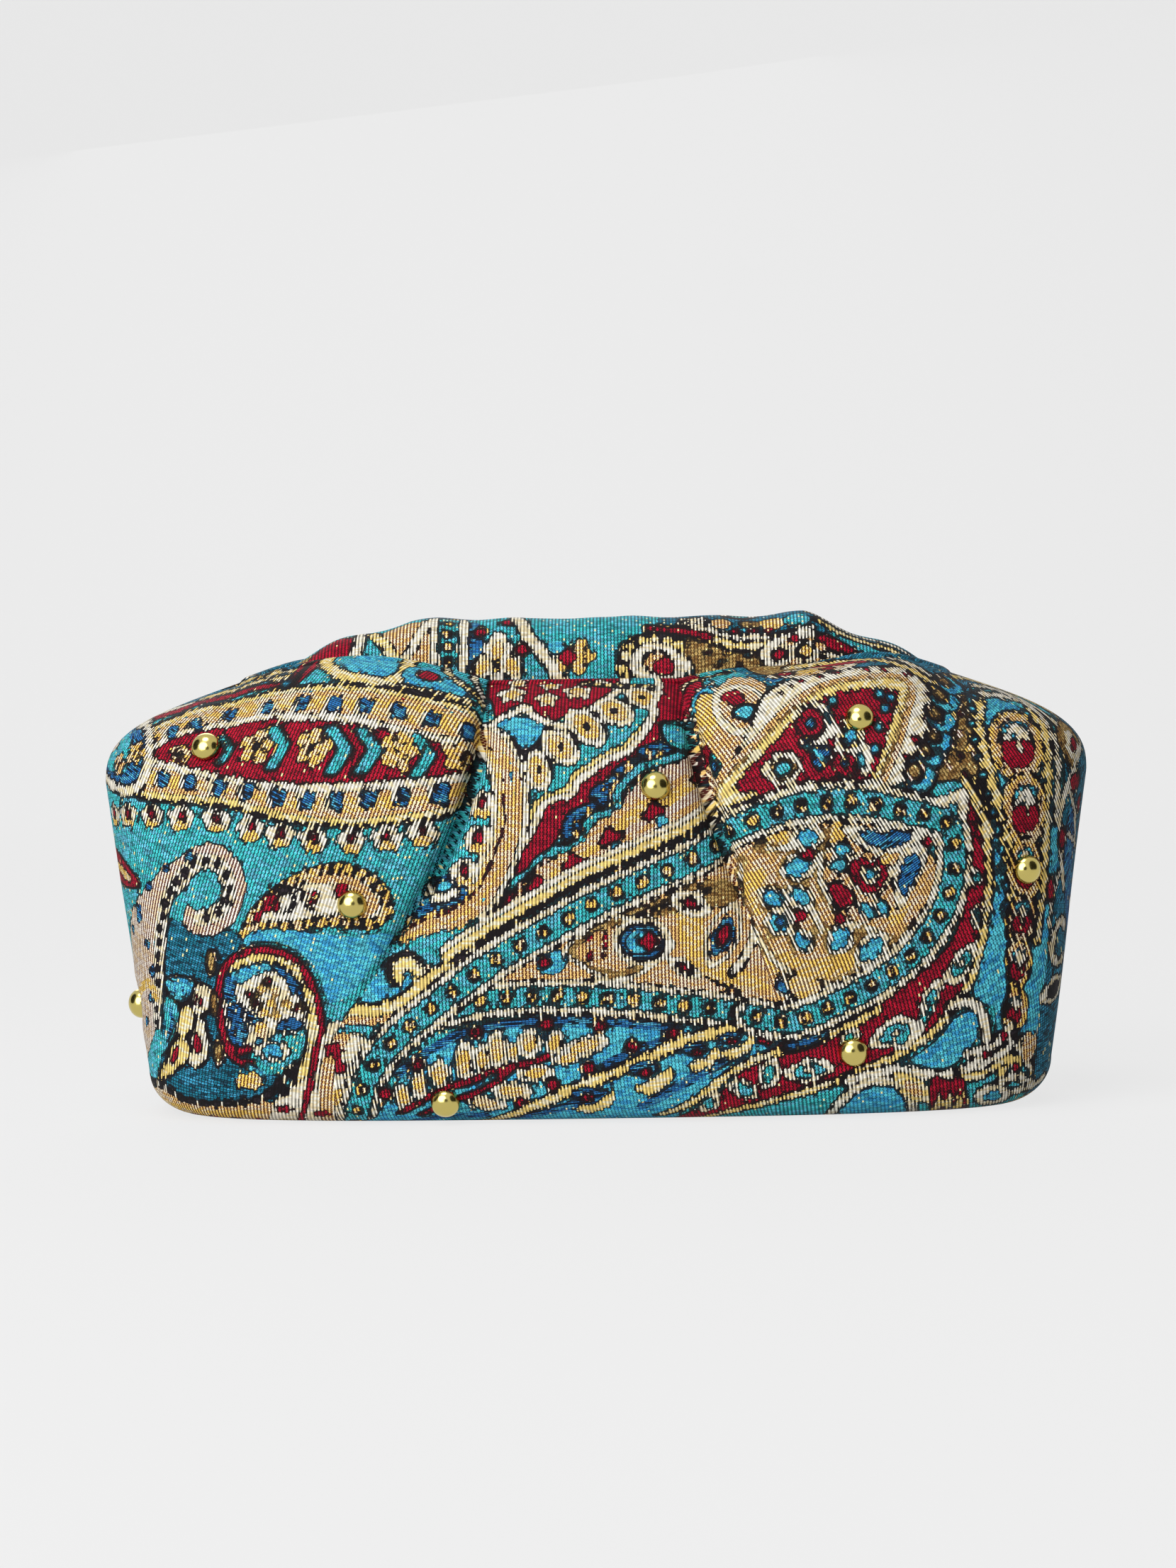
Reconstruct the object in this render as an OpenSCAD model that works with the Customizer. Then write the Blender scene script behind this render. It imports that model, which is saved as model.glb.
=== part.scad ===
// Puffy clutch bag of figured cloth: a full, pleated body closed by a rolled top band,
// with domed rivet studs scattered over it. Front is -Y, and the base rests on z = 0.
// The back is the front turned half round the z axis.

/* [Body] */
// Width across the shoulders, the widest part
shoulder_w = 302; // [240:1:360]
// Height at which the shoulders start to round over
shoulder_z = 102; // [90:1:115]
// Depth from front to back at the fullest part
full_d = 116; // [90:1:150]
// Height at which the front starts to round over
full_z = 88; // [60:1:105]
// Width of the flat base
base_w = 250; // [180:1:280]
// Depth of the flat base
base_d = 80; // [60:1:90]
// Radius of the turn from the base into the walls
edge_r = 14; // [8:1:18]
// Roundness of the body in plan, 2 is an ellipse and more is squarer
corner_n = 3.2; // [2.4:0.1:4.5]

/* [Lip] */
// Height of the lip in the middle of the front
lip_h = 131; // [122:1:145]
// Width of the body at its lip
lip_w = 220; // [190:1:236]
// Depth of the body at its lip
lip_d = 54; // [46:1:70]
// Rise of the lip where it rounds over each shoulder lobe
lobe_rise = 8; // [0:0.5:10]
// Thickness of the padded cloth at the lip
lip_t = 6; // [4:0.5:8]
// Depth of the trough that the top band sits in
trough_depth = 9; // [6:0.5:14]

/* [Pleats] */
// Distance of the left pleat from the centre line at the lip
left_pleat_top = 32; // [25:1:45]
// Distance of the left pleat from the centre line at its foot
left_pleat_foot = 79; // [60:1:95]
// Height of the left pleat's foot
left_pleat_z = 28; // [20:1:60]
// How far the left pleat bows, 1 is straight
left_pleat_bow = 1.7; // [1:0.1:2]
// Distance of the right pleat from the centre line at the lip
right_pleat_top = 26; // [18:1:45]
// Distance of the right pleat from the centre line at its foot
right_pleat_foot = 52; // [40:1:80]
// Height of the right pleat's foot
right_pleat_z = 40; // [20:1:70]
// How far the right pleat bows, 1 is straight
right_pleat_bow = 1.1; // [1:0.1:2]
// Depth of each pleat's crease at its deepest
pleat_depth = 8; // [2:0.5:10]
// Distance over which the cloth rises beside a crease
pleat_spread = 11; // [6:0.5:16]

/* [Top band] */
// Height of the top band's crown
crown_h = 151; // [148:1:165]
// Length of the level part of the crown
crown_flat = 112; // [60:1:140]
// Gap between the top band and the trough round it
band_gap = 0.3; // [0.1:0.1:1]
// Height of the gathers that cross the top band
gather_h = 0.8; // [0:0.1:1.5]
// Distance from one gather to the next
gather_pitch = 29; // [18:1:45]

/* [Studs] */
// Diameter of a stud's dome
stud_d = 9; // [6:0.5:12]
// Height of a stud's dome above its seat
stud_h = 4.4; // [2.5:0.1:6]
// Depth of the seat that a stud presses into the cloth
seat_depth = 0.8; // [0.5:0.1:1.2]
// Gap round a stud in its seat
seat_gap = 0.2; // [0.1:0.05:0.5]
// Diameter of the socket under a dome
socket_d = 3.4; // [3:0.1:4.5]
// Length of the socket under a dome
socket_l = 4; // [3:0.5:6]
// Diameter of the rivet pin in the socket
pin_d = 1.8; // [1.4:0.1:2.2]
// Diameter of the rivet's flat back
back_d = 7; // [5:0.5:9]
// Thickness of the rivet's flat back
back_t = 0.8; // [0.5:0.1:1.2]
// Gap between the rivet's pieces and round them
rivet_gap = 0.05; // [0.02:0.01:0.2]

/* [Hidden] */
cloth_teal = [0.20, 0.55, 0.58];
cloth_gold = [0.72, 0.58, 0.36];
brass = [0.72, 0.62, 0.30];
tin = [0.70, 0.68, 0.62];

// Each stud's place: its station round the front half, and its height as a share of the lip's height.
// Stations run from -2 at the left seam, past -1 and 1 at the corners, to 2 at the right seam.
stud_places = [
    [-0.97, 0.87], [0.12, 0.77], [0.57, 0.88], [-0.515, 0.51],
    [-1.74, 0.26], [1.19, 0.56], [-0.34, 0.05], [0.57, 0.155]
];
roof_curve = 2.7;     // how late the outline turns in over a shoulder
front_curve = 2.2;    // how late the front turns in over its top
front_round = 0.7;    // how full that turn is
lobe_reach = 0.30;    // share of the lip's height over which a lobe's rise fades in
lip_closing = 0.35;   // share of a crease's depth left where the seam closes it
band_curve = 1.25;    // how the crown falls away towards its ends
band_n = 2.6;         // fullness of the top band's section
band_end = 0.985;     // share of the trough's half width where the top band is cut square
edge_rows = 5;
wall_rows = 22;
side_columns = 14;
middle_columns = 14;
band_columns = 40;
band_points = 18;
smooth_fn = 48;
step = 0.01;

function clamp01(t) = max(0, min(1, t));
function mix(a, b, t) = a + (b - a) * t;
function ease(t) = let (c = clamp01(t)) c * c * (3 - 2 * c);
function unit(v) = v / norm(v);

// Half the body's width at height z: base edge, straight flank, then the turn over the shoulder
function half_w(z) =
    z < edge_r ? base_w / 2 + sqrt(edge_r ^ 2 - (edge_r - z) ^ 2)
    : z < shoulder_z ? mix(base_w / 2 + edge_r, shoulder_w / 2, (z - edge_r) / (shoulder_z - edge_r))
    : mix(shoulder_w / 2, lip_w / 2, ((z - shoulder_z) / (lip_h - shoulder_z)) ^ roof_curve);

// Half the body's depth at height z, in the same way
function half_d(z) =
    z < edge_r ? base_d / 2 + sqrt(edge_r ^ 2 - (edge_r - z) ^ 2)
    : z < full_z ? mix(base_d / 2 + edge_r, full_d / 2, sin(90 * (z - edge_r) / (full_z - edge_r)))
    : mix(lip_d / 2, full_d / 2,
          (1 - clamp01((z - full_z) / (lip_h - full_z)) ^ front_curve) ^ front_round);

// A station round the front half, from -2 at the left seam to 2 at the right seam, on a plan of half sizes a and b
function square_dir(w) = abs(w) <= 1 ? [w, -1] : [sign(w), abs(w) - 2];
function on_plan(w, a, b) =
    let (d = square_dir(w), k = (abs(d.x) ^ corner_n + abs(d.y) ^ corner_n) ^ (1 / corner_n))
    [a * d.x / k, b * d.y / k];
function station_of(x, a) = let (f = x / a) f / (1 - abs(f) ^ corner_n) ^ (1 / corner_n);

// Where each pleat runs at height z
function left_pleat_x(z) =
    -mix(left_pleat_top, left_pleat_foot, clamp01((lip_h - z) / (lip_h - left_pleat_z)) ^ left_pleat_bow);
function right_pleat_x(z) =
    mix(right_pleat_top, right_pleat_foot, clamp01((lip_h - z) / (lip_h - right_pleat_z)) ^ right_pleat_bow);

// How far a crease draws the cloth in, from nothing at the pleat's foot to its depth near the lip
function crease(x, z, pleat_x, foot_z) =
    let (up = (z - foot_z) / (lip_h - foot_z))
    pleat_depth * ease(up * 1.6) * mix(1, lip_closing, ease((up - 0.75) * 4))
    * exp(-abs(x - pleat_x) / pleat_spread);
function drawn_in(x, z) =
    crease(x, z, left_pleat_x(z), left_pleat_z) + crease(x, z, right_pleat_x(z), right_pleat_z);

// How far the lip rises over the lobe on each side of the middle
function lobe(x, z) =
    let (inner = x < 0 ? left_pleat_top : right_pleat_top,
         t = clamp01((abs(x) - inner) / (lip_w / 2 - inner)))
    lobe_rise * sin(180 * t) * ease((z / lip_h - 1 + lobe_reach) / lobe_reach);

// A point of the front's cloth
function cloth(w, z) =
    let (p = on_plan(w, half_w(z), half_d(z)), face = ease(2 - abs(w)))
    [p.x, p.y + drawn_in(p.x, z) * face, z + lobe(p.x, z)];
function outward(w, z) =
    unit(cross(cloth(w + step, z) - cloth(w - step, z), cloth(w, z + step) - cloth(w, z - step)));

// Columns of the cloth: close together beside the pleats, and slanted with them
function column_station(c, z) =
    let (a = half_w(z), wl = station_of(left_pleat_x(z), a), wr = station_of(right_pleat_x(z), a))
    c < side_columns ? mix(-2, wl, 1 - (1 - c / side_columns) ^ 1.5)
    : c < side_columns + middle_columns ? let (t = (c - side_columns) / middle_columns)
        mix(wl, wr, t - sin(360 * t) / 12)
    : mix(wr, 2, ((c - side_columns - middle_columns) / side_columns) ^ 1.5);
columns = 2 * side_columns + middle_columns;

function turned(p, side) = [side * p.x, side * p.y, p.z];
function cloth_row(z) = [
    for (side = [1, -1]) for (c = [0 : columns - 1]) turned(cloth(column_station(c, z), z), side)
];

// The trough: the lip's own plan brought in, for the rolled edge, the wall and the floor
function trough_row(inset, z, rise) = [
    for (side = [1, -1]) for (c = [0 : columns - 1])
        let (p = on_plan(column_station(c, lip_h), lip_w / 2 - inset, lip_d / 2 - inset))
        turned([p.x, p.y, z + rise * lobe(p.x, lip_h)], side)
];
trough_z = lip_h - trough_depth;
trough_half_w = lip_w / 2 - lip_t;
trough_half_d = lip_d / 2 - lip_t;

body_rows = concat(
    [for (i = [0 : edge_rows - 1]) cloth_row(edge_r * (1 - cos(90 * i / edge_rows)))],
    [for (i = [0 : wall_rows]) cloth_row(mix(edge_r, lip_h, 1 - (1 - i / wall_rows) ^ 1.25))],
    [trough_row(lip_t * 0.7, lip_h + lip_t * 0.1, 1),
     trough_row(lip_t, lip_h - lip_t * 0.4, 0.6),
     trough_row(lip_t, trough_z, 0)]
);

// A closed skin over rows of points that all have the same count
module skin(rows) {
    count = len(rows[0]);
    last = len(rows) - 1;
    faces = concat(
        [[for (c = [0 : count - 1]) c]],
        [for (r = [0 : last - 1]) for (c = [0 : count - 1]) let (n = (c + 1) % count)
            each [[r * count + c, (r + 1) * count + c, r * count + n],
                  [r * count + n, (r + 1) * count + c, (r + 1) * count + n]]],
        [[for (c = [count - 1 : -1 : 0]) last * count + c]]
    );
    polyhedron(points = [for (row = rows) each row], faces = faces, convexity = 6);
}

// Puts its children on the cloth at each stud's place, with +Z along the cloth's outward direction
module at_studs() {
    for (side = [0, 180]) rotate([0, 0, side])
        for (place = stud_places) {
            w = place[0];
            z = place[1] * lip_h;
            n = outward(w, z);
            translate(cloth(w, z) - n * seat_depth)
                rotate([0, acos(n.z), atan2(n.y, n.x)])
                    children();
        }
}

// Room for one stud: its seat, the hole for its socket and the space behind for the rivet's back
module stud_room() {
    hole_r = socket_d / 2 + rivet_gap;
    cylinder(d = stud_d + 2 * seat_gap, h = stud_h + seat_depth, $fn = smooth_fn);
    translate([0, 0, -socket_l - back_t - 2 * rivet_gap])
        cylinder(r = hole_r, h = socket_l + back_t + 3 * rivet_gap, $fn = smooth_fn);
    translate([0, 0, -socket_l - back_t - 2 * rivet_gap])
        cylinder(d = back_d + 2 * rivet_gap, h = back_t + 2 * rivet_gap, $fn = smooth_fn);
}

module pleated_body() {
    color(cloth_teal)
    difference() {
        skin(body_rows);
        at_studs() stud_room();
    }
}

// Half sizes of the top band across the bag and up from the trough's floor, at a place along it
band_half_w = trough_half_w - band_gap;
function band_half_d(x) =
    (trough_half_d - band_gap) * (1 - (abs(x) / band_half_w) ^ corner_n) ^ (1 / corner_n);
function band_top(x) =
    let (fall = max(0, abs(x) - crown_flat / 2) / ((lip_w - crown_flat) / 2))
    crown_h - (crown_h - lip_h) * fall ^ band_curve + gather_h * sin(360 * x / gather_pitch);

// One cross section of the top band: flat on the trough's floor, rounded over the top
function band_section(x) = [
    for (i = [0 : band_points])
        let (t = 180 * i / band_points, c = cos(t), s = sin(t),
             k = (abs(c) ^ band_n + s ^ band_n) ^ (1 / band_n))
        [x, band_half_d(x) * c / k, trough_z + (band_top(x) - trough_z) * s / k]
];

module top_band() {
    color(cloth_gold)
    skin([for (i = [0 : band_columns])
        band_section(band_half_w * band_end * sin(90 * (2 * i / band_columns - 1)))]);
}

// The domed cap of a stud, with the socket under it
module stud_dome() {
    rim_t = 0.5;
    difference() {
        union() {
            rotate_extrude($fn = smooth_fn)
                intersection() {
                    translate([0, rim_t]) scale([stud_d / 2, stud_h - rim_t]) circle(r = 1, $fn = smooth_fn);
                    square([stud_d, stud_h]);
                }
            cylinder(d = stud_d, h = rim_t, $fn = smooth_fn);
            translate([0, 0, -socket_l]) cylinder(d = socket_d, h = socket_l + rim_t, $fn = smooth_fn);
        }
        translate([0, 0, -socket_l - 1])
            cylinder(d = pin_d + 2 * rivet_gap, h = socket_l + 1, $fn = smooth_fn);
    }
}

module stud_domes() {
    color(brass) at_studs() stud_dome();
}

// The rivet that holds a stud from inside: a flat back and a pin up into the socket
module stud_rivet() {
    translate([0, 0, -socket_l - back_t - rivet_gap]) {
        cylinder(d = back_d, h = back_t, $fn = smooth_fn);
        cylinder(d = pin_d, h = back_t + socket_l, $fn = smooth_fn);
    }
}

module stud_rivets() {
    color(tin) at_studs() stud_rivet();
}

pleated_body();
top_band();
stud_domes();
stud_rivets();
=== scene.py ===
from math import cos, pi, radians, sin, tau

import bpy
import numpy as np
from mathutils import Matrix, Vector


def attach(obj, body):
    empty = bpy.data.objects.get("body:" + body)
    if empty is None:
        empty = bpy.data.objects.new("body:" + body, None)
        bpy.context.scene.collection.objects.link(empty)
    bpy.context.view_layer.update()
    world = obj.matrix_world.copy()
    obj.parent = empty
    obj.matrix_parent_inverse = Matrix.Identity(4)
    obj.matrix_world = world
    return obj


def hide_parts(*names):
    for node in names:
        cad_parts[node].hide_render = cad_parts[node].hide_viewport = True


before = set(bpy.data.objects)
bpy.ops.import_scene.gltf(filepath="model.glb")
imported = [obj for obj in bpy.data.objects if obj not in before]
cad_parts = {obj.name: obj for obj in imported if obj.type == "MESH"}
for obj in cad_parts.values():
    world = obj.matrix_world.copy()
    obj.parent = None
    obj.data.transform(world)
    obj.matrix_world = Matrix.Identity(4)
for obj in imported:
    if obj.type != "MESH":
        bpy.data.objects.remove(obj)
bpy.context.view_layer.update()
mm = 0.001
print("frame loaded:", ", ".join(sorted(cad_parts)))

# the bag's form, in millimetres, as its solids have it
bag = {
    "shoulderW": 302.0, "shoulderZ": 102.0, "fullD": 116.0, "fullZ": 88.0,
    "baseW": 250.0, "baseD": 80.0, "edgeR": 14.0, "cornerN": 3.2,
    "lipH": 131.0, "lipW": 220.0, "lipD": 54.0, "lobeRise": 8.0, "lobeReach": 0.3,
    "lipT": 6.0, "troughDepth": 9.0,
    "roofCurve": 2.7, "frontCurve": 2.2, "frontRound": 0.7,
    "pleatDepth": 8.0, "pleatSpread": 11.0, "pleatStart": 1.6, "lipClosing": 0.35, "closingFrom": 0.75,
    "leftPleat": {"top": -32.0, "foot": -79.0, "footZ": 28.0, "bow": 1.7},
    "rightPleat": {"top": 26.0, "foot": 52.0, "footZ": 40.0, "bow": 1.1},
    "rowPitch": 1.15,            # distance between rows of the cloth's mesh
    "columns": (114, 92, 122),   # left of the pleats, between them, right of them
}
pleatNames = ("leftPleat", "rightPleat")


def mix(a, b, t):
    return a + (b - a) * t


def ease(t):
    c = np.clip(t, 0, 1)
    return c * c * (3 - 2 * c)


def halfWidth(z):
    r, top = bag["edgeR"], bag["lipH"] - bag["shoulderZ"]
    edge = bag["baseW"] / 2 + np.sqrt(np.maximum(0, r * r - (r - z) ** 2))
    flank = mix(bag["baseW"] / 2 + r, bag["shoulderW"] / 2, (z - r) / (bag["shoulderZ"] - r))
    turn = np.clip((z - bag["shoulderZ"]) / top, 0, 1) ** bag["roofCurve"]
    roof = mix(bag["shoulderW"] / 2, bag["lipW"] / 2, turn)
    return np.where(z < r, edge, np.where(z < bag["shoulderZ"], flank, roof))


def halfDepth(z):
    r, top = bag["edgeR"], bag["lipH"] - bag["fullZ"]
    edge = bag["baseD"] / 2 + np.sqrt(np.maximum(0, r * r - (r - z) ** 2))
    rise = np.clip((z - r) / (bag["fullZ"] - r), 0, 1)
    wall = mix(bag["baseD"] / 2 + r, bag["fullD"] / 2, np.sin(pi / 2 * rise))
    turn = 1 - np.clip((z - bag["fullZ"]) / top, 0, 1) ** bag["frontCurve"]
    roof = mix(bag["lipD"] / 2, bag["fullD"] / 2, np.maximum(0, turn) ** bag["frontRound"])
    return np.where(z < r, edge, np.where(z < bag["fullZ"], wall, roof))


# stations run round the front half: -2 left seam, -1 and 1 corners, 2 right seam
def onPlan(w, a, b):
    n = bag["cornerN"]
    dx = np.where(np.abs(w) <= 1, w, np.sign(w))
    dy = np.where(np.abs(w) <= 1, -1.0, np.abs(w) - 2)
    k = (np.abs(dx) ** n + np.abs(dy) ** n) ** (1 / n)
    return a * dx / k, b * dy / k


def stationOf(x, a):
    f, n = x / a, bag["cornerN"]
    return f / (1 - np.abs(f) ** n) ** (1 / n)


def pleatX(name, z):
    pleat = bag[name]
    down = np.clip((bag["lipH"] - z) / (bag["lipH"] - pleat["footZ"]), 0, 1)
    return mix(pleat["top"], pleat["foot"], down ** pleat["bow"])


def creaseDepth(name, z):
    footZ = bag[name]["footZ"]
    up = (z - footZ) / (bag["lipH"] - footZ)
    near = ease((up - bag["closingFrom"]) / (1 - bag["closingFrom"]))
    return bag["pleatDepth"] * ease(up * bag["pleatStart"]) * mix(1, bag["lipClosing"], near)


def drawnIn(x, z):
    return sum(creaseDepth(name, z) * np.exp(-np.abs(x - pleatX(name, z)) / bag["pleatSpread"])
               for name in pleatNames)


def lobe(x, z):
    inner = np.where(x < 0, -bag["leftPleat"]["top"], bag["rightPleat"]["top"])
    t = np.clip((np.abs(x) - inner) / (bag["lipW"] / 2 - inner), 0, 1)
    reach = bag["lobeReach"]
    return bag["lobeRise"] * np.sin(pi * t) * ease((z / bag["lipH"] - 1 + reach) / reach)


def clothPoint(w, z):
    w, z = np.asarray(w, float), np.asarray(z, float)
    x, y = onPlan(w, halfWidth(z), halfDepth(z))
    face = ease(2 - np.abs(w))
    return np.stack([x, y + drawnIn(x, z) * face, z + lobe(x, z)], -1)


# the cloth's own measure: u runs round the front from its middle, v up from the base edge
edgeZ = bag["edgeR"] * (1 - np.cos(np.linspace(0, pi / 2, 40)[:-1]))
profileZ = np.concatenate([edgeZ, np.linspace(bag["edgeR"], bag["lipH"], 500)])
profileV = np.concatenate([[0], np.cumsum(np.hypot(np.diff(profileZ), np.diff(halfDepth(profileZ))))])
lipV = profileV[-1]
stations = np.linspace(-2, 2, 1601)


def heightAt(v):
    return np.interp(v, profileV, profileZ)


def loopMeasure(z):
    x, y = onPlan(stations, halfWidth(z), halfDepth(z))
    along = np.concatenate([[0], np.cumsum(np.hypot(np.diff(x), np.diff(y)))])
    return along - np.interp(0, stations, along)


def creaseU(name, z, measure):
    return np.interp(stationOf(pleatX(name, z), halfWidth(z)), stations, measure)


# studs: station and share of the lip's height, as the solids have them
studs = {
    "places": [(-0.97, 0.87), (0.12, 0.77), (0.57, 0.88), (-0.515, 0.51),
               (-1.74, 0.26), (1.19, 0.56), (-0.34, 0.05), (0.57, 0.155)],
    "diameter": 9.0, "height": 4.4, "rim": 0.5, "seat": 0.8, "rings": 14, "sides": 40,
}


def outward(w, z, step=0.01):
    across = clothPoint(w + step, z) - clothPoint(w - step, z)
    up = clothPoint(w, z + step) - clothPoint(w, z - step)
    n = np.cross(across, up)
    return n / np.linalg.norm(n)


def studSpots():
    spots = []
    for w, share in studs["places"]:
        z = share * bag["lipH"]
        n = outward(w, z)
        spots.append((clothPoint(w, z), n, np.interp(w, stations, loopMeasure(z)),
                      np.interp(z, profileZ, profileV)))
    return spots


# pattern: yarns of the figured cloth, and a painter that lays motifs on the flat cloth
yarns = ["teal", "aqua", "navy", "deep", "crimson", "olive", "black", "cream", "gold", "lattice", "comb",
         "fringe"]
yarnKeys = ["yarnA", "yarnB", "yarnC", "yarnD"]  # attributes that hold three yarns each
firstLight = yarns.index("cream")
# yarns that meet without a dark edge
softGroups = [
    ("teal", "aqua", "navy", "deep"), ("cream", "gold", "lattice", "olive"), ("comb", "cream"),
    ("fringe", "gold"), ("fringe", "lattice"), ("comb", "fringe"), ("comb", "black"), ("fringe", "black"),
    ("comb", "fringe", "olive")]
# flat plans: their reach in u and v, the painter's cell and the roll's run from seam to seam
plans = {"body": (-192, 192, -60, 172), "roll": (-115, 115, -12, 74), "cell": 0.3, "rollRun": 62}


def smooth(points, closed=False, steps=8):
    pts = np.array(points, float)
    ends = (pts[-1:], pts[:2]) if closed else (2 * pts[:1] - pts[1:2], 2 * pts[-1:] - pts[-2:-1])
    q = np.concatenate([ends[0], pts, ends[1]])
    t = np.linspace(0, 1, steps, endpoint=False)[:, None]
    out = []
    for a, b, c, d in zip(q, q[1:], q[2:], q[3:]):
        out.append(0.5 * (2 * b + (c - a) * t + (2 * a - 5 * b + 4 * c - d) * t ** 2
                          + (3 * b - a - 3 * c + d) * t ** 3))
    return np.concatenate(out + ([] if closed else [pts[-1:]]))


def beside(points, distance):
    path = smooth(points)
    d = np.gradient(path, axis=0)
    normal = np.stack([-d[:, 1], d[:, 0]], 1) / np.linalg.norm(d, axis=1, keepdims=True)
    return path + normal * distance


def spacedAlong(points, pitch, start=0.0):
    path = smooth(points)
    length = np.concatenate([[0], np.cumsum(np.linalg.norm(np.diff(path, axis=0), axis=1))])
    at = np.arange(start, length[-1], pitch)
    d = np.gradient(path, axis=0)
    angle = np.unwrap(np.arctan2(d[:, 1], d[:, 0]))
    return [(np.interp(s, length, path[:, 0]), np.interp(s, length, path[:, 1]),
             np.degrees(np.interp(s, length, angle))) for s in at]


class ClothPainter:
    def __init__(self, uMin, uMax, vMin, vMax, cell, ground):
        self.origin, self.cell = np.array([uMin, vMin]), cell
        self.grid = np.full((round((vMax - vMin) / cell), round((uMax - uMin) / cell)),
                            yarns.index(ground), np.uint8)
        self.clip = np.ones(self.grid.shape, bool)

    def centres(self, rows, cols):
        u = self.origin[0] + (np.arange(cols.start, cols.stop) + 0.5) * self.cell
        v = self.origin[1] + (np.arange(rows.start, rows.stop) + 0.5) * self.cell
        return u[None, :], v[:, None]

    def window(self, path, pad=0.0):
        low = np.floor((path.min(0) - pad - self.origin) / self.cell).astype(int)
        high = np.ceil((path.max(0) + pad - self.origin) / self.cell).astype(int) + 1
        h, w = self.grid.shape
        return (
            slice(max(0, low[1]), min(h, max(0, high[1]))), slice(max(0, low[0]), min(w, max(0, high[0]))))

    def put(self, box, mask, yarn):
        self.grid[box][mask & self.clip[box]] = yarns.index(yarn)

    def poly(self, points, yarn):
        path = np.array(points, float)
        box = self.window(path)
        u, v = self.centres(*box)
        inside = np.zeros((v.size, u.size), bool)
        for (x0, y0), (x1, y1) in zip(path, np.roll(path, -1, 0)):
            if y0 != y1:
                inside ^= ((y0 > v) != (y1 > v)) & (u < (x1 - x0) * (v - y0) / (y1 - y0) + x0)
        self.put(box, inside, yarn)

    def shape(self, points, yarn):
        self.poly(smooth(points, True), yarn)

    def between(self, a, b, yarn):
        self.poly(np.concatenate([smooth(a), smooth(b)[::-1]]), yarn)

    def stroke(self, points, yarn, width, offset=0.0):
        path = beside(points, offset) if offset else smooth(points)
        for p0, p1 in zip(path, path[1:]):
            seg = np.array([p0, p1])
            box = self.window(seg, width)
            u, v = self.centres(*box)
            d = p1 - p0
            t = np.clip(((u - p0[0]) * d[0] + (v - p0[1]) * d[1]) / max(d @ d, 1e-9), 0, 1)
            near = (u - p0[0] - t * d[0]) ** 2 + (v - p0[1] - t * d[1]) ** 2 < width * width / 4
            self.put(box, near, yarn)

    def band(self, points, *layers):
        for width, yarn in layers:
            self.stroke(points, yarn, width)

    def rosette(self, u, v, yarn, rx, ry, petals, depth, turn=0.0):
        t = np.linspace(0, tau, 60, endpoint=False)
        r = 1 + depth * np.cos(petals * t)
        x, y = rx * r * np.cos(t), ry * r * np.sin(t)
        c, s = cos(radians(turn)), sin(radians(turn))
        self.poly(np.stack([u + x * c - y * s, v + x * s + y * c], 1), yarn)

    def disc(self, u, v, yarn, rx, ry=None, turn=0.0):
        self.rosette(u, v, yarn, rx, ry or rx, 0, 0, turn)

    # discs on one centre, the outermost first
    def discs(self, u, v, *layers):
        for yarn, rx, ry in layers:
            self.disc(u, v, yarn, rx, ry)

    # a disc with a dark edge
    def berry(self, u, v, yarn, edge, rx, ry=None, turn=0.0, dark="black"):
        self.disc(u, v, dark, rx + edge, (ry or rx) + edge, turn)
        self.disc(u, v, yarn, rx, ry, turn)

    def tile(self, u, v, yarn, width, height, turn=0.0):
        c, s = cos(radians(turn)), sin(radians(turn))
        w, h = width / 2, height / 2
        self.poly([(u + i * w * c - j * h * s, v + i * w * s + j * h * c)
                   for i, j in ((-1, -1), (1, -1), (1, 1), (-1, 1))], yarn)

    # an almond from a to b; each layer is a share of its size and a yarn
    def leaf(self, a, b, width, *layers, full=0.75):
        a, b = np.array(a, float), np.array(b, float)
        d, t = b - a, np.linspace(0, 1, 24)
        n = np.array([-d[1], d[0]]) / np.linalg.norm(d)
        for share, yarn in layers:
            along = a + d / 2 + d * share * (t - 0.5)[:, None]
            side = n * (width / 2 * share * np.sin(pi * t) ** full)[:, None]
            self.poly(np.concatenate([along + side, (along - side)[::-1]]), yarn)

    def edgedLeaf(self, a, b, width, edge, *layers, full=0.75):
        self.leaf(a, b, width + edge, (1, "black"), full=full)
        self.leaf(a, b, width, *layers, full=full)

    # one outline at several shares of its size, drawn about its hub
    def rings(self, outline, hub, *layers):
        hub, outline = np.array(hub), np.array(outline)
        for share, yarn in layers:
            self.shape(hub + share * (outline - hub), yarn)

    def beads(self, points, yarn, size, pitch, start=0.0):
        for u, v, _ in spacedAlong(points, pitch, start):
            self.disc(u, v, yarn, size / 2)

    # a light line with dark edges
    def rim(self, points, width, yarn="comb", offset=0.0, dark=0.6):
        self.stroke(points, "black", width + 2 * dark, offset)
        self.stroke(points, yarn, width, offset)

    # an eye: a light crown with a dark drop
    def eye(self, u, v, size):
        self.rosette(u, v, "comb", size * 0.52, size * 0.6, 5, 0.07, 90)
        self.disc(u, v - size * 0.3, "gold", size * 0.36, size * 0.2)
        self.disc(u, v + size * 0.1, "black", size * 0.25, size * 0.34)
        self.disc(u, v + size * 0.08, "crimson", size * 0.18, size * 0.25)

    def blossom(self, u, v, size, yarn="gold", heart="crimson"):
        self.rosette(u, v, yarn, size / 2, size / 2, 5, 0.2)
        self.rosette(u, v, "olive", size * 0.32, size * 0.32, 5, 0.3, 36)
        self.rosette(u, v, yarn, size * 0.22, size * 0.22, 4, 0.2)
        self.disc(u, v, heart, size * 0.13)

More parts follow.
